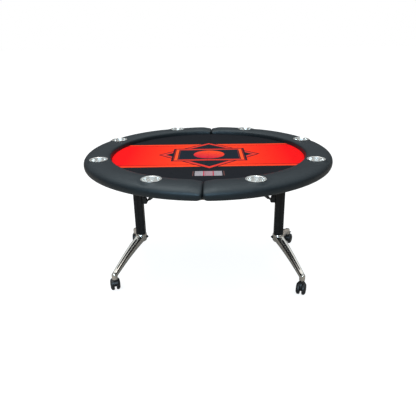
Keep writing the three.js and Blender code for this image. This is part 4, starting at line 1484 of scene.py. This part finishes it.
@dataclass
class Column(SubAssembly):
    """Grooved column with its cast head and the strut's bracket."""

    groove_half: float = 4 * MM
    groove_deep: float = 2 * MM
    corner: float = 9 * MM
    wall: float = 4 * MM

    def outline(self, half: float) -> list[Point2]:
        """Rounded square with a soft-edged groove in each face."""
        quarter: list[Corner] = [
            (half, self.groove_half, 0.9 * MM),
            (half, half, self.corner * 1.7),
            (self.groove_half, half, 0.9 * MM),
            (self.groove_half - 0.8 * MM, half - self.groove_deep, 0.7 * MM),
            (-self.groove_half + 0.8 * MM, half - self.groove_deep, 0.7 * MM),
        ]
        corners: list[Corner] = []
        for k in range(4):
            turn = Matrix.Rotation(k * math.pi / 2, 2)
            for x, y, r in quarter:
                spot = turn @ Vector((x, y))
                corners.append((spot.x, spot.y, r))
        return fillet(corners, True, 5)

    def build(self) -> None:
        """Make the column, its head and its bracket."""
        low, high = local_box("column")
        middle = (low + high) / 2
        half = (high.x - low.x) / 2
        outer = self.outline(half)
        rim = inset(outer, 0.6 * MM)
        inside = inset(outer, self.wall)
        at = Matrix.Translation((middle.x, middle.y, 0))
        layers = [
            (inside, low.z), (rim, low.z), (outer, low.z + 0.6 * MM), (outer, high.z - 0.6 * MM),
            (rim, high.z), (inside, high.z),
        ]
        rings = [[at @ Vector((x, y, z)) for x, y in ring] for ring, z in layers]
        tube = self.work().rings(rings, closed=True)
        self.fit(tube.done(self.named("column_extrusion"), COLUMN.build(), 25.0), "leg", "column")

        head_low, head_high = local_box("column_head")
        pivot = joint_at("left_fold")
        reach = head_high.y
        sleeve_profile = [
            (8.3 * MM, -reach), (17.5 * MM, -reach), (19 * MM, -reach + 1.5 * MM),
            (19 * MM, reach - 1.5 * MM), (17.5 * MM, reach), (8.3 * MM, reach), (8.3 * MM, -reach),
        ]
        sleeve = self.work().revolve(sleeve_profile, along_y(pivot.x, pivot.z), 56)
        neck = self.work()
        base = high.z + 0.3 * MM
        layers = [
            (25.0, 26.0, 0.0), (25.0, 26.0, 5.0), (24.2, 25.2, 7.0), (20.5, 30.0, 12.0), (18.5, 34.0, 20.0),
            (16.0, 37.0, 27.0),
        ]
        sections = []
        for x, y, z in layers:
            ring = rounded_box(x * MM, y * MM, 7 * MM, 5)
            sections.append([Vector((pivot.x + px, py, base + z * MM)) for px, py in ring])
        neck.rings(sections)
        spigot = self.work().block(
            Vector((pivot.x - 23 * MM, -23 * MM, head_low.z)),
            Vector((pivot.x + 23 * MM, 23 * MM, base + 1 * MM)), 0.8 * MM,
        )
        head = welded(self.named("column_head_casting"), [neck, spigot], POWDER.build(), STEEL_CREASE)
        bore = self.work().revolve(pin_profile(17 * MM, -0.06, 0.06), along_y(pivot.x, pivot.z), 48)
        combine(head, [bore.done("bore", POWDER.build())])
        head.data.set_sharp_from_angle(angle=math.radians(STEEL_CREASE))
        self.fit(head, "leg", "column_head")
        self.extra(sleeve, "column_head_sleeve", POWDER, "leg", "black_metal", STEEL_CREASE)
        self.refit("strut_bracket", "strut_bracket_plate", POWDER, 0.6 * MM, "leg")
        self.bracket_screws()

    def bracket_screws(self) -> None:
        """Screws that hold the strut's bracket to the column."""
        low, high = local_box("strut_bracket")
        face = low.x + 3 * MM
        work = self.work()
        for z in (high.z - 6 * MM, low.z + 5 * MM):
            at = axis_frame(Vector((face, (low.y + high.y) / 2, z)), Vector((1, 0, 0)))
            button_head(work, at, 3.6 * MM, 2.4 * MM)
        self.extra(work, "bracket_screws", ZINC, "leg", "zinc", STEEL_CREASE)


@dataclass
class Foot(SubAssembly):
    """Polished casting on the floor: hub, two falling arms and their caster sockets."""

    hub_size: tuple[float, float, float] = (56 * MM, 44 * MM, 193 * MM)
    tip_size: tuple[float, float, float] = (31 * MM, 27 * MM, 98 * MM)
    bow: float = 9 * MM
    inlay_from: float = 0.17
    inlay_span: float = 0.74
    arm_length: float = 319 * MM
    voxel: float = 2.0 * MM

    def ends(self, local: int) -> tuple[Vector, Vector, Vector]:
        """Hub centre, unit run and unit cross direction of an arm in plan."""
        hub = Vector((joint_at("left_fold").x, 0.0, 0.0))
        socket = joint_at("left_front_swivel")
        tip = Vector((socket.x, -abs(socket.y) if local < 0 else abs(socket.y), 0.0))
        run = tip - hub
        return hub, run, Vector((-run.y, run.x, 0.0)).normalized()

    def size(self, t: float) -> tuple[float, float, float]:
        """Width, height and middle height of an arm at t."""
        wide, tall, z = (a + (b - a) * t for a, b in zip(self.hub_size, self.tip_size))
        return wide, tall, z + self.bow * math.sin(math.pi * t)

    def arm_ring(self, local: int, t: float) -> list[Vector]:
        """Section of an arm: flat-backed with a crowned top and soft corners."""
        hub, run, across = self.ends(local)
        wide, tall, z = self.size(t)
        w, h = wide / 2, tall / 2
        corners: list[Corner] = [
            (-w * 0.86, -h, 9 * MM), (w * 0.86, -h, 9 * MM), (w, h * 0.15, 10 * MM), (w * 0.92, h, 9 * MM),
            (0.0, h + 0.8 * MM, 14 * MM), (-w * 0.92, h, 9 * MM), (-w, h * 0.15, 10 * MM),
        ]
        middle = hub + run * t + Vector((0, 0, z))
        return [middle + across * x + Vector((0, 0, y)) for x, y in fillet(corners, True, 5)]

    def strip_ring(self, local: int, t: float, share: float, low: float, high: float) -> list[Vector]:
        """Section of the inlay strip at t."""
        hub, run, across = self.ends(local)
        wide, tall, z = self.size(t)
        half = wide * (0.135 - 0.03 * t) * share
        middle = hub + run * t + Vector((0, 0, z + tall / 2))
        corners: list[Corner] = [
            (-half, low, 0.2 * MM), (half, low, 0.2 * MM), (half, high - 0.5 * MM, 0.5 * MM),
            (half * 0.6, high, 2 * MM), (-half * 0.6, high, 2 * MM), (-half, high - 0.5 * MM, 0.5 * MM),
        ]
        return [middle + across * x + Vector((0, 0, y)) for x, y in fillet(corners, True, 3)]

    def casting(self) -> bpy.types.Object:
        """Join hub, arms and sockets, then melt the joints into cast fillets."""
        finish = ALLOY.build()
        low, _ = local_box("foot")
        hub_x = joint_at("left_fold").x
        top = local_box("column")[0].z - 0.3 * MM
        hub_profile = [
            (0.0, low.z + 93 * MM), (20 * MM, low.z + 93 * MM), (27 * MM, low.z + 95 * MM),
            (33 * MM, low.z + 103 * MM), (34 * MM, low.z + 118 * MM), (34 * MM, top - 9 * MM),
            (32 * MM, top - 3 * MM), (29.5 * MM, top), (0.0, top),
        ]
        works = [self.work().revolve(hub_profile, Matrix.Translation((hub_x, 0, 0)), 64)]
        for local in (-1, 1):
            works.append(
                self.work().rings([self.arm_ring(local, -0.03 + 1.06 * k / 26) for k in range(27)])
            )
            hub, run, _ = self.ends(local)
            tip = hub + run
            socket_profile = [
                (0.0, low.z), (15.6 * MM, low.z), (16.5 * MM, low.z + 1.2 * MM),
                (16.5 * MM, low.z + 28 * MM), (15.6 * MM, low.z + 33 * MM), (12.5 * MM, low.z + 37 * MM),
                (6 * MM, low.z + 38.6 * MM), (0.0, low.z + 38.9 * MM),
            ]
            works.append(self.work().revolve(socket_profile, Matrix.Translation((tip.x, tip.y, 0)), 48))
        piece = welded(self.named("foot_casting"), works, finish, 60.0)
        melt = piece.modifiers.new("melt", "REMESH")
        melt.mode = "VOXEL"
        melt.voxel_size = self.voxel
        melt.use_smooth_shade = True
        soften = piece.modifiers.new("soften", "SMOOTH")
        soften.factor, soften.iterations = 0.5, 9
        settle(piece)
        bores = []
        for local in (-1, 1):
            hub, run, _ = self.ends(local)
            tip = hub + run
            bore = self.work().revolve(
                pin_profile(6.2 * MM, low.z - 5 * MM, low.z + 29 * MM),
                Matrix.Translation((tip.x, tip.y, 0)), 32,
            )
            bores.append(bore.done("bore", finish))
        combine(piece, bores)
        shade(piece.data, 60.0)
        return piece

    def build(self) -> None:
        """Make the casting, its inlays and its clamp bolt."""
        self.fit(self.casting(), "leg", "foot")
        for local in (-1, 1):
            rings = []
            steps = 40
            for k in range(steps + 1):
                t = self.inlay_from + self.inlay_span * k / steps
                away = min(k, steps - k) * self.inlay_span * self.arm_length / steps
                share = min(1.0, math.sqrt(max(away, 0.6 * MM) / (9 * MM)))
                rings.append(self.strip_ring(local, t, share, -3 * MM, 1.5 * MM))
            name = f"{self.side.end_name(local)}_foot_inlay"
            strip = self.work().rings(rings).done(self.named(name) + "_strip", INLAY.build(), 40.0)
            self.fit(strip, "leg", name)
        low, high = local_box("hub_bolt")
        z = (low.z + high.z) / 2
        bolt = self.work()
        at = axis_frame(Vector((high.x - 9.7 * MM, 0, z)), Vector((1, 0, 0)))
        bolt.revolve(pin_profile(4 * MM, -14 * MM, 1 * MM), at, 24)
        bolt.revolve(in_mm((0.0, -0.4), (10, -0.4), (10, 1.4), (9.2, 2.0), (0.0, 2.0)), at, 40)
        button_head(bolt, at @ Matrix.Translation((0, 0, 2 * MM)), 7.4 * MM, 7.6 * MM)
        self.fit(bolt.done(self.named("hub_clamp_bolt"), NYLON.build(), STEEL_CREASE), "leg", "hub_bolt")


# ------------------------------------------------------------------ strut


@dataclass
class Strut(SubAssembly):
    """Gas strut between the column and the frame."""

    tube: float = 9.5 * MM
    rod: float = 4.5 * MM
    bore: float = 7.4 * MM
    start: float = 22 * MM
    end: float = 250 * MM

    def place(self) -> tuple[Matrix, float]:
        """Frame at the lower eye whose X runs to the upper fork, and the distance between them."""
        foot = joint_at("left_strut_swing")
        lug = Vector((-76 * MM, foot.y, 662 * MM))
        run = lug - foot
        x, y = run.normalized(), Vector((0, 1, 0))
        turn = Matrix((x, y, x.cross(y))).transposed().to_4x4()
        return Matrix.Translation(foot) @ turn, run.length

    def build(self) -> None:
        """Make the tube with its eye, and the rod with its fork."""
        at, length = self.place()
        along = at @ Matrix.Rotation(math.pi / 2, 4, "Y")
        low, high, r = self.start, self.end, self.tube
        barrel = [
            (0.0, low), (4 * MM, low), (r - 2.5 * MM, low + 0.6 * MM), (r - 0.5 * MM, low + 2.6 * MM),
            (r, low + 4.5 * MM), (r, high - 12 * MM), (r - 0.9 * MM, high - 11 * MM),
            (r - 0.9 * MM, high - 9 * MM), (r, high - 8 * MM), (r, high - 2.5 * MM),
            (r - 1.2 * MM, high - 0.8 * MM), (r - 2.6 * MM, high), (self.rod + 0.5 * MM, high),
            (self.rod + 0.5 * MM, high - 9 * MM), (self.bore, high - 10 * MM), (self.bore, low + 11 * MM),
            (0.0, low + 12 * MM),
        ]
        tube = self.work().revolve(barrel, along, 48)
        name = self.named("strut_tube_barrel")
        self.fit(tube.done(name, STRUT_PAINT.build(), MOULDED_CREASE), "strut_tube", "strut_tube")
        eye = self.work()
        side_on = at @ Matrix.Rotation(-math.pi / 2, 4, "X")
        ring = in_mm((4.4, -10), (8.2, -10), (9, -9.2), (9, 9.2), (8.2, 10), (4.4, 10), (4.4, -10))
        eye.revolve(ring, side_on, 40)
        neck = in_mm((8.4, 4.0), (11, 4.6), (15, 5.2), (19, 6.0), (22.6, 6.4))
        turns = [2 * math.pi * k / 28 for k in range(28)]
        for_ring = [(math.cos(a), math.sin(a)) for a in turns]
        eye.rings([[at @ Vector((x, radius * c, radius * s)) for c, s in for_ring] for x, radius in neck])
        self.extra(eye, "strut_eye", POWDER, "strut_tube", "black_metal", MOULDED_CREASE)

        rod = self.work().revolve(pin_profile(self.rod, 46 * MM, length - 14 * MM), along, 36)
        piece = rod.done(self.named("strut_rod_bar"), CHROME.build(), MOULDED_CREASE)
        self.fit(piece, "strut_rod", "strut_rod")
        fork = self.work()
        outline = fillet(
            in_mm(
                (-18, -6.0, 3), (-6, -7.5, 3), (9, -7.5, 6.5), (9, 7.5, 6.5), (-6, 7.5, 3), (-18, 6.0, 3),
            ),
            True, 6,
        )
        head = at @ Matrix.Translation((length, 0, 0))
        fork.prism(outline, upright(8 * MM, head), 4.6 * MM, 0.6 * MM)
        fork.prism(outline, upright(-3.4 * MM, head), 4.6 * MM, 0.6 * MM)
        bridge = fillet(
            in_mm((-18, -6.0, 2), (-10, -6.8, 1), (-10, 6.8, 1), (-18, 6.0, 2)),
            True, 4,
        )
        fork.prism(bridge, upright(7.6 * MM, head), 15.2 * MM, 0.5 * MM)
        for sign in (-1, 1):
            outward = head @ Matrix.Rotation(-sign * math.pi / 2, 4, "X")
            rivet = outward @ Matrix.Translation((0, 0, 7.9 * MM))
            fork.revolve(
                in_mm((0.0, 0.0), (5, 0.0), (4.8, 1.0), (3.6, 2.0), (1.8, 2.5), (0.0, 2.6)), rivet, 28,
            )
        self.extra(fork, "strut_fork", POWDER, "strut_rod", "black_metal", MOULDED_CREASE)


# ------------------------------------------------------------------ casters


@dataclass
class Caster(SubAssembly):
    """Twin-wheel caster at one socket."""

    end: str = "front"
    has_lever: bool = False
    wheel: float = 34 * MM
    inner: float = 5.5 * MM
    wide: float = 22 * MM
    trail: float = 17 * MM
    hood: float = 17 * MM
    lever_ahead: float = 13 * MM
    lever_above: float = 37.5 * MM

    @property
    def name(self) -> str:
        """Side and end of this caster."""
        return f"{self.side.value}_{self.end}"

    def place(self) -> Matrix:
        """Frame at the stem on the floor whose X points to where the wheels trail."""
        stem = joint_at(f"{self.name}_swivel")
        axle = joint_at(f"{self.name}_roll_a")
        heading = math.atan2(axle.y - stem.y, axle.x - stem.x)
        return Matrix.Translation((stem.x, stem.y, 0)) @ Matrix.Rotation(heading, 4, "Z")

    def body(self) -> None:
        """Stem, collar, web, fender and axle ends."""
        work = Workpiece(self.place())
        collar = in_mm(
            (0.0, 66.5), (9, 66.5), (12.5, 67.4), (14, 69), (14, 73.6), (13.2, 74.6), (8.5, 74.7),
            (5.5, 74.7), (5.5, 101), (4.6, 103), (0.0, 103),
        )
        work.revolve(collar, Matrix.Identity(4), 40)
        web = fillet(
            in_mm(
                (-13, 72, 2), (12, 72, 4), (26, 66, 8), (38, 40, 12), (24, 18, 10), (8, 18, 10),
                (-4, 36, 14), (-12, 58, 8),
            ),
            True, 6,
        )
        work.prism(web, upright(4.5 * MM), 9 * MM, 1.2 * MM)
        rings = []
        spread = 30
        for k in range(spread + 1):
            share = k / spread
            angle = math.radians(78 + 89 * share)
            taper = min(1.0, 0.35 + 4 * min(share, 1 - share))
            half = self.hood - 3 * MM * (1 - math.sqrt(min(1.0, 8 * min(share, 1 - share))))
            lower, upper = self.wheel + 2.0 * MM, self.wheel + 2.0 * MM + 3.2 * MM * taper
            section = fillet(
                [
                    (-half, lower, 0.3 * MM), (half, lower, 0.3 * MM), (half, upper - 0.8 * MM, 0.6 * MM),
                    (half - 3.4 * MM, upper, 3 * MM), (-half + 3.4 * MM, upper, 3 * MM),
                    (-half, upper - 0.8 * MM, 0.6 * MM),
                ],
                True, 4,
            )
            rings.append(
                [
                    Vector((self.trail + r * math.cos(angle), y, self.wheel + r * math.sin(angle)))
                    for y, r in section
                ]
            )
        work.rings(rings)
        work.revolve(pin_profile(4 * MM, -24.8 * MM, 24.8 * MM), along_y(self.trail, self.wheel), 24)
        if self.has_lever:
            x, z = self.trail + self.lever_ahead, self.wheel + self.lever_above
            work.revolve(pin_profile(4 * MM, -3 * MM, 3 * MM), along_y(x, z), 24)
            work.revolve(pin_profile(2 * MM, -13 * MM, 13 * MM), along_y(x, z), 20)
            post = in_mm((20, 60, 1), (30, 55, 1), (33.5, 70, 2), (26.5, 73, 2))
            work.prism(fillet(post, True, 3), upright(3 * MM), 6 * MM, 0.5 * MM)
        piece = work.done(f"{self.name}_caster_fork", NYLON.build(), MOULDED_CREASE)
        node = f"{self.name}_caster_body"
        fitted(piece, f"{self.name}_caster", SLOTS[node], node)

    def wheels(self) -> None:
        """Two domed wheels, each a tyre on a disc with a raised boss."""
        r, face = self.wheel, self.inner + self.wide
        tyre = [
            (r - 4.6 * MM, self.inner + 1.6 * MM), (r - 3.6 * MM, self.inner + 0.4 * MM),
            (r - 2.2 * MM, self.inner + 1.0 * MM), (r - 0.8 * MM, self.inner + 2.8 * MM),
            (r - 0.1 * MM, self.inner + 5.2 * MM), (r, self.inner + 7.5 * MM), (r, face - 12 * MM),
            (r - 0.6 * MM, face - 9.2 * MM), (r - 1.9 * MM, face - 6.8 * MM),
            (r - 3.4 * MM, face - 5.1 * MM), (r - 4.6 * MM, face - 4.9 * MM),
            (r - 4.6 * MM, self.inner + 1.6 * MM),
        ]
        disc = [
            (4.3 * MM, self.inner + 0.6 * MM), (10 * MM, self.inner + 0.6 * MM),
            (12 * MM, self.inner + 4 * MM), (r - 8 * MM, self.inner + 4 * MM),
            (r - 6.4 * MM, self.inner + 1.2 * MM), (r - 4.7 * MM, self.inner + 1.2 * MM),
            (r - 4.7 * MM, face - 5.2 * MM), (r - 5.6 * MM, face - 4.2 * MM), (r - 8 * MM, face - 2.1 * MM),
            (r - 12 * MM, face - 0.9 * MM), (13.5 * MM, face - 0.2 * MM), (12.6 * MM, face - 0.9 * MM),
            (11.6 * MM, face - 0.9 * MM), (10.6 * MM, face + 0.1 * MM), (5 * MM, face + 0.5 * MM),
            (0.0, face + 0.5 * MM), (0.0, face - 2.2 * MM), (4.3 * MM, face - 2.2 * MM),
            (4.3 * MM, self.inner + 0.6 * MM),
        ]
        at = self.place()
        for letter, sign in (("a", -1), ("b", 1)):
            body = f"{self.name}_wheel_{letter}"
            spin = along_y(self.trail, self.wheel)
            flip = Matrix.Diagonal((1, 1, sign, 1))
            ring = Workpiece(at).revolve(tyre, spin @ flip, 72)
            fitted(ring.done(f"{body}_tyre", TREAD.build(), MOULDED_CREASE), body, "wheel_tread", body)
            hub = Workpiece(at).revolve(disc, spin @ flip, 64)
            fitted(hub.done(f"{body}_disc", NYLON.build(), MOULDED_CREASE), body, "black_plastic", body)

    def lever(self) -> None:
        """Rocking foot lever with grip ribs."""
        x, z = self.trail + self.lever_ahead, self.wheel + self.lever_above
        points = [
            (-4.0, -1.0, 1.5), (-3.5, 3.5, 2.5), (4.0, 4.4, 4.0), (12.0, 3.8, 6.0), (27.0, -2.0, 2.0),
            (28.0, -6.0, 1.6), (10.0, -1.5, 5.0), (-1.0, -4.0, 2.0),
        ]
        outline = fillet([(x + px * MM, z + pz * MM, r * MM) for px, pz, r in points], True, 4)
        works = [Workpiece(self.place()).prism(outline, upright(12 * MM), 24 * MM, 0.9 * MM)]
        for k in range(4):
            rib_x = x + (13.0 + 3.4 * k) * MM
            rib_z = z + (3.1 - 1.35 * k) * MM
            at = along_y(rib_x, rib_z)
            works.append(Workpiece(self.place()).revolve(pin_profile(0.9 * MM, -9 * MM, 9 * MM), at, 12))
        name = f"{self.name}_brake_lever"
        piece = welded(name + "_pedal", works, NYLON.build(), MOULDED_CREASE)
        slot = Workpiece(self.place()).block(
            Vector((x - 8 * MM, -3.4 * MM, z - 9 * MM)), Vector((x + 7.5 * MM, 3.4 * MM, z + 9 * MM)),
            0.3 * MM,
        )
        hole = Workpiece(self.place()).revolve(pin_profile(2.4 * MM, -16 * MM, 16 * MM), along_y(x, z), 24)
        combine(piece, [slot.done("slot", NYLON.build()), hole.done("hole", NYLON.build())])
        piece.data.set_sharp_from_angle(angle=math.radians(MOULDED_CREASE))
        fitted(piece, f"{self.name}_brake", SLOTS[name], name)

    def build(self) -> None:
        """Make the whole caster."""
        self.body()
        self.wheels()
        if self.has_lever:
            self.lever()


# ------------------------------------------------------------------ centre hinges


@dataclass
class CentreHinge:
    """Butt hinge under the seam, at the front or the rear."""

    end: str = "front"
    pin: float = 4 * MM
    head: float = 6.5 * MM
    screw_x: tuple[float, float] = (30 * MM, 54 * MM)
    screw_y: float = 12 * MM

    def build(self) -> None:
        """Make both leaves, their screws and the pin."""
        finish = ZINC.build()
        for side in Side:
            node = f"{self.end}_hinge_{side.value}_leaf"
            leaf = refined(node, f"{node}_plate", finish, 0.5 * MM, 50.0)
            fitted(leaf, f"{side.value}_top", SLOTS[node], node)
            low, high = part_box(node)
            middle = (low.y + high.y) / 2
            plate_low = high.z - 3.5 * MM
            work = Workpiece()
            for x in self.screw_x:
                for y in (-self.screw_y, self.screw_y):
                    spot = Vector((x if side is Side.RIGHT else -x, middle + y, plate_low))
                    button_head(
                        work, Matrix.Translation(spot) @ Matrix.Rotation(math.pi, 4, "X"), 4 * MM, 2.4 * MM,
                    )
            fitted(work.done(f"{node}_screws", finish, STEEL_CREASE), f"{side.value}_top", "zinc")
        node = f"{self.end}_hinge_pin"
        low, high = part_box(node)
        middle = (low + high) / 2
        face = (high.y - low.y) / 2 - 3 * MM
        at = Matrix.Translation((0, middle.y, 0)) @ along_y(middle.x, middle.z)
        pin = Workpiece().revolve(headed_pin(self.pin, self.head, face, 3 * MM), at, 32)
        fitted(pin.done(f"{node}_bar", finish, STEEL_CREASE), "left_top", SLOTS[node], node)


# ------------------------------------------------------------------ studio


@dataclass
class Studio:
    """Pale floor, soft lights, white surroundings and the camera."""

    reach: float = 60.0
    camera_at: tuple[float, float, float] = (0.0966, -2.3411, 1.3263)
    yaw: float = -0.0375
    pitch: float = 0.3749
    roll: float = -0.0127
    lens: float = 36.504
    shift: tuple[float, float] = (-0.00572, -0.00726)

    def floor(self) -> None:
        """Large pale sheet that glows a little, so that its far parts stay white."""
        bm = bmesh.new()
        step = 12
        marks = [-self.reach + 2 * self.reach * k / step for k in range(step + 1)]
        grid = [[bm.verts.new((x, y, 0.0)) for x in marks] for y in marks]
        for row, upper in zip(grid, grid[1:]):
            for k in range(step):
                bm.faces.new((row[k], row[k + 1], upper[k + 1], upper[k]))
        mesh = bpy.data.meshes.new("floor")
        bm.to_mesh(mesh)
        bm.free()
        material = bpy.data.materials.new("pale floor")
        material.use_nodes = True
        graph = Graph(material.node_tree)
        shader = material.node_tree.nodes["Principled BSDF"]
        place = graph.put("TexCoord").outputs["Object"]
        cloud = graph.noise(place, 2.0, 4.0, 0.5)
        seen = graph.put("LightPath").outputs["Is Camera Ray"]
        pale = graph.mix(cloud, (0.29, 0.29, 0.29), (0.31, 0.31, 0.31))
        graph.feed(shader.inputs["Base Color"], graph.mix(seen, (0.40, 0.36, 0.325), pale))
        shader.inputs["Roughness"].default_value = 0.8
        shader.inputs["Specular IOR Level"].default_value = 0.0
        graph.feed(shader.inputs["Emission Color"], graph.mix(seen, (0.03, 0.027, 0.025), (1.0, 1.0, 1.0)))
        shader.inputs["Emission Strength"].default_value = 0.86
        floor = dressed("floor", mesh, material, 30.0)

    def world(self) -> None:
        """White to the camera; brighter above and darker at the horizon to everything else."""
        world = bpy.data.worlds.new("studio")
        bpy.context.scene.world = world
        world.use_nodes = True
        graph = Graph(world.node_tree)
        tree = world.node_tree
        back = tree.nodes["Background"]
        direction = graph.put("TexCoord").outputs["Generated"]
        height = graph.put("SeparateXYZ", {0: direction}).outputs[2]
        ramp = graph.put("ValToRGB", {0: graph.span(height, -1.0, 1.0)})
        stops = ramp.color_ramp.elements
        stops[0].position, stops[0].color = 0.0, (0.10, 0.09, 0.085, 1.0)
        stops[1].position, stops[1].color = 1.0, (1.0, 1.0, 1.0, 1.0)
        for position, colour in (
            (0.5, (0.07, 0.07, 0.075)), (0.62, (0.10, 0.11, 0.12)), (0.74, (0.24, 0.27, 0.29)),
            (0.88, (0.84, 0.92, 0.97)),
        ):
            stop = stops.new(position)
            stop.color = (*colour, 1.0)
        seen = graph.put("LightPath").outputs["Is Camera Ray"]
        graph.feed(back.inputs["Color"], graph.mix(seen, ramp.outputs[0], (1.0, 1.0, 1.0)))
        graph.feed(back.inputs["Strength"], graph.span(seen, 0.0, 1.0, 1.25, 1.0))

    def lamp(
        self, name: str, at: Corner, aim: Corner, size: tuple[float, float], power: float, colour: Colour,
    ) -> None:
        """Soft rectangular light."""
        data = bpy.data.lights.new(name, "AREA")
        data.shape = "RECTANGLE"
        data.size, data.size_y = size
        data.energy = power
        data.color = colour
        lamp = bpy.data.objects.new(name, data)
        lamp.location = at
        lamp.rotation_mode = "QUATERNION"
        lamp.rotation_quaternion = (Vector(aim) - Vector(at)).to_track_quat("-Z", "Y")
        bpy.context.scene.collection.objects.link(lamp)

    def camera(self) -> None:
        """Camera slightly above the rail, looking down on the cloth."""
        cos_p, sin_p = math.cos(self.pitch), math.sin(self.pitch)
        ahead = Vector((math.sin(self.yaw) * cos_p, math.cos(self.yaw) * cos_p, -sin_p))
        right = Vector((math.cos(self.yaw), -math.sin(self.yaw), 0.0))
        up = right.cross(ahead)
        cos_r, sin_r = math.cos(self.roll), math.sin(self.roll)
        across, above = right * cos_r + up * sin_r, up * cos_r - right * sin_r
        data = bpy.data.cameras.new("camera")
        data.lens = self.lens
        data.sensor_width = 36.0
        data.shift_x, data.shift_y = self.shift
        data.clip_start, data.clip_end = 0.05, 200.0
        camera = bpy.data.objects.new("camera", data)
        camera.rotation_mode = "QUATERNION"
        camera.location = self.camera_at
        camera.rotation_quaternion = Matrix((across, above, -ahead)).transposed().to_quaternion()
        bpy.context.scene.collection.objects.link(camera)
        bpy.context.scene.camera = camera

    def build(self) -> None:
        """Set up the whole studio."""
        bpy.context.scene.view_settings.view_transform = "Standard"
        self.floor()
        self.world()
        self.lamp("overhead", (-0.7, -0.3, 3.6), (0.0, 0.0, 0.7), (2.4, 1.8), 47.0, (1.0, 0.98, 0.95))
        self.lamp("front", (-0.5, -3.5, 2.2), (0.0, -0.4, 0.7), (2.8, 0.4), 88.0, (0.56, 0.80, 1.0))
        self.camera()


def main() -> None:
    """Build the table, one sub-assembly at a time."""
    Studio().build()
    for side in Side:
        RailCushion(side).build()
        RailHem(side).build()
        PlayingSurface(side).build()
        for local_end in (-1, 1):
            for place in ("inner", "outer"):
                DropInCup(side, place, local_end).build()
        UnderFrame(side).build()
        Column(side).build()
        Foot(side).build()
        Strut(side).build()
        for end in ("front", "rear"):
            braked = (side.value, end) in (("left", "front"), ("right", "rear"))
            Caster(side, end, braked).build()
    for end in ("front", "rear"):
        CentreHinge(end).build()


if __name__ == "__main__":
    main()
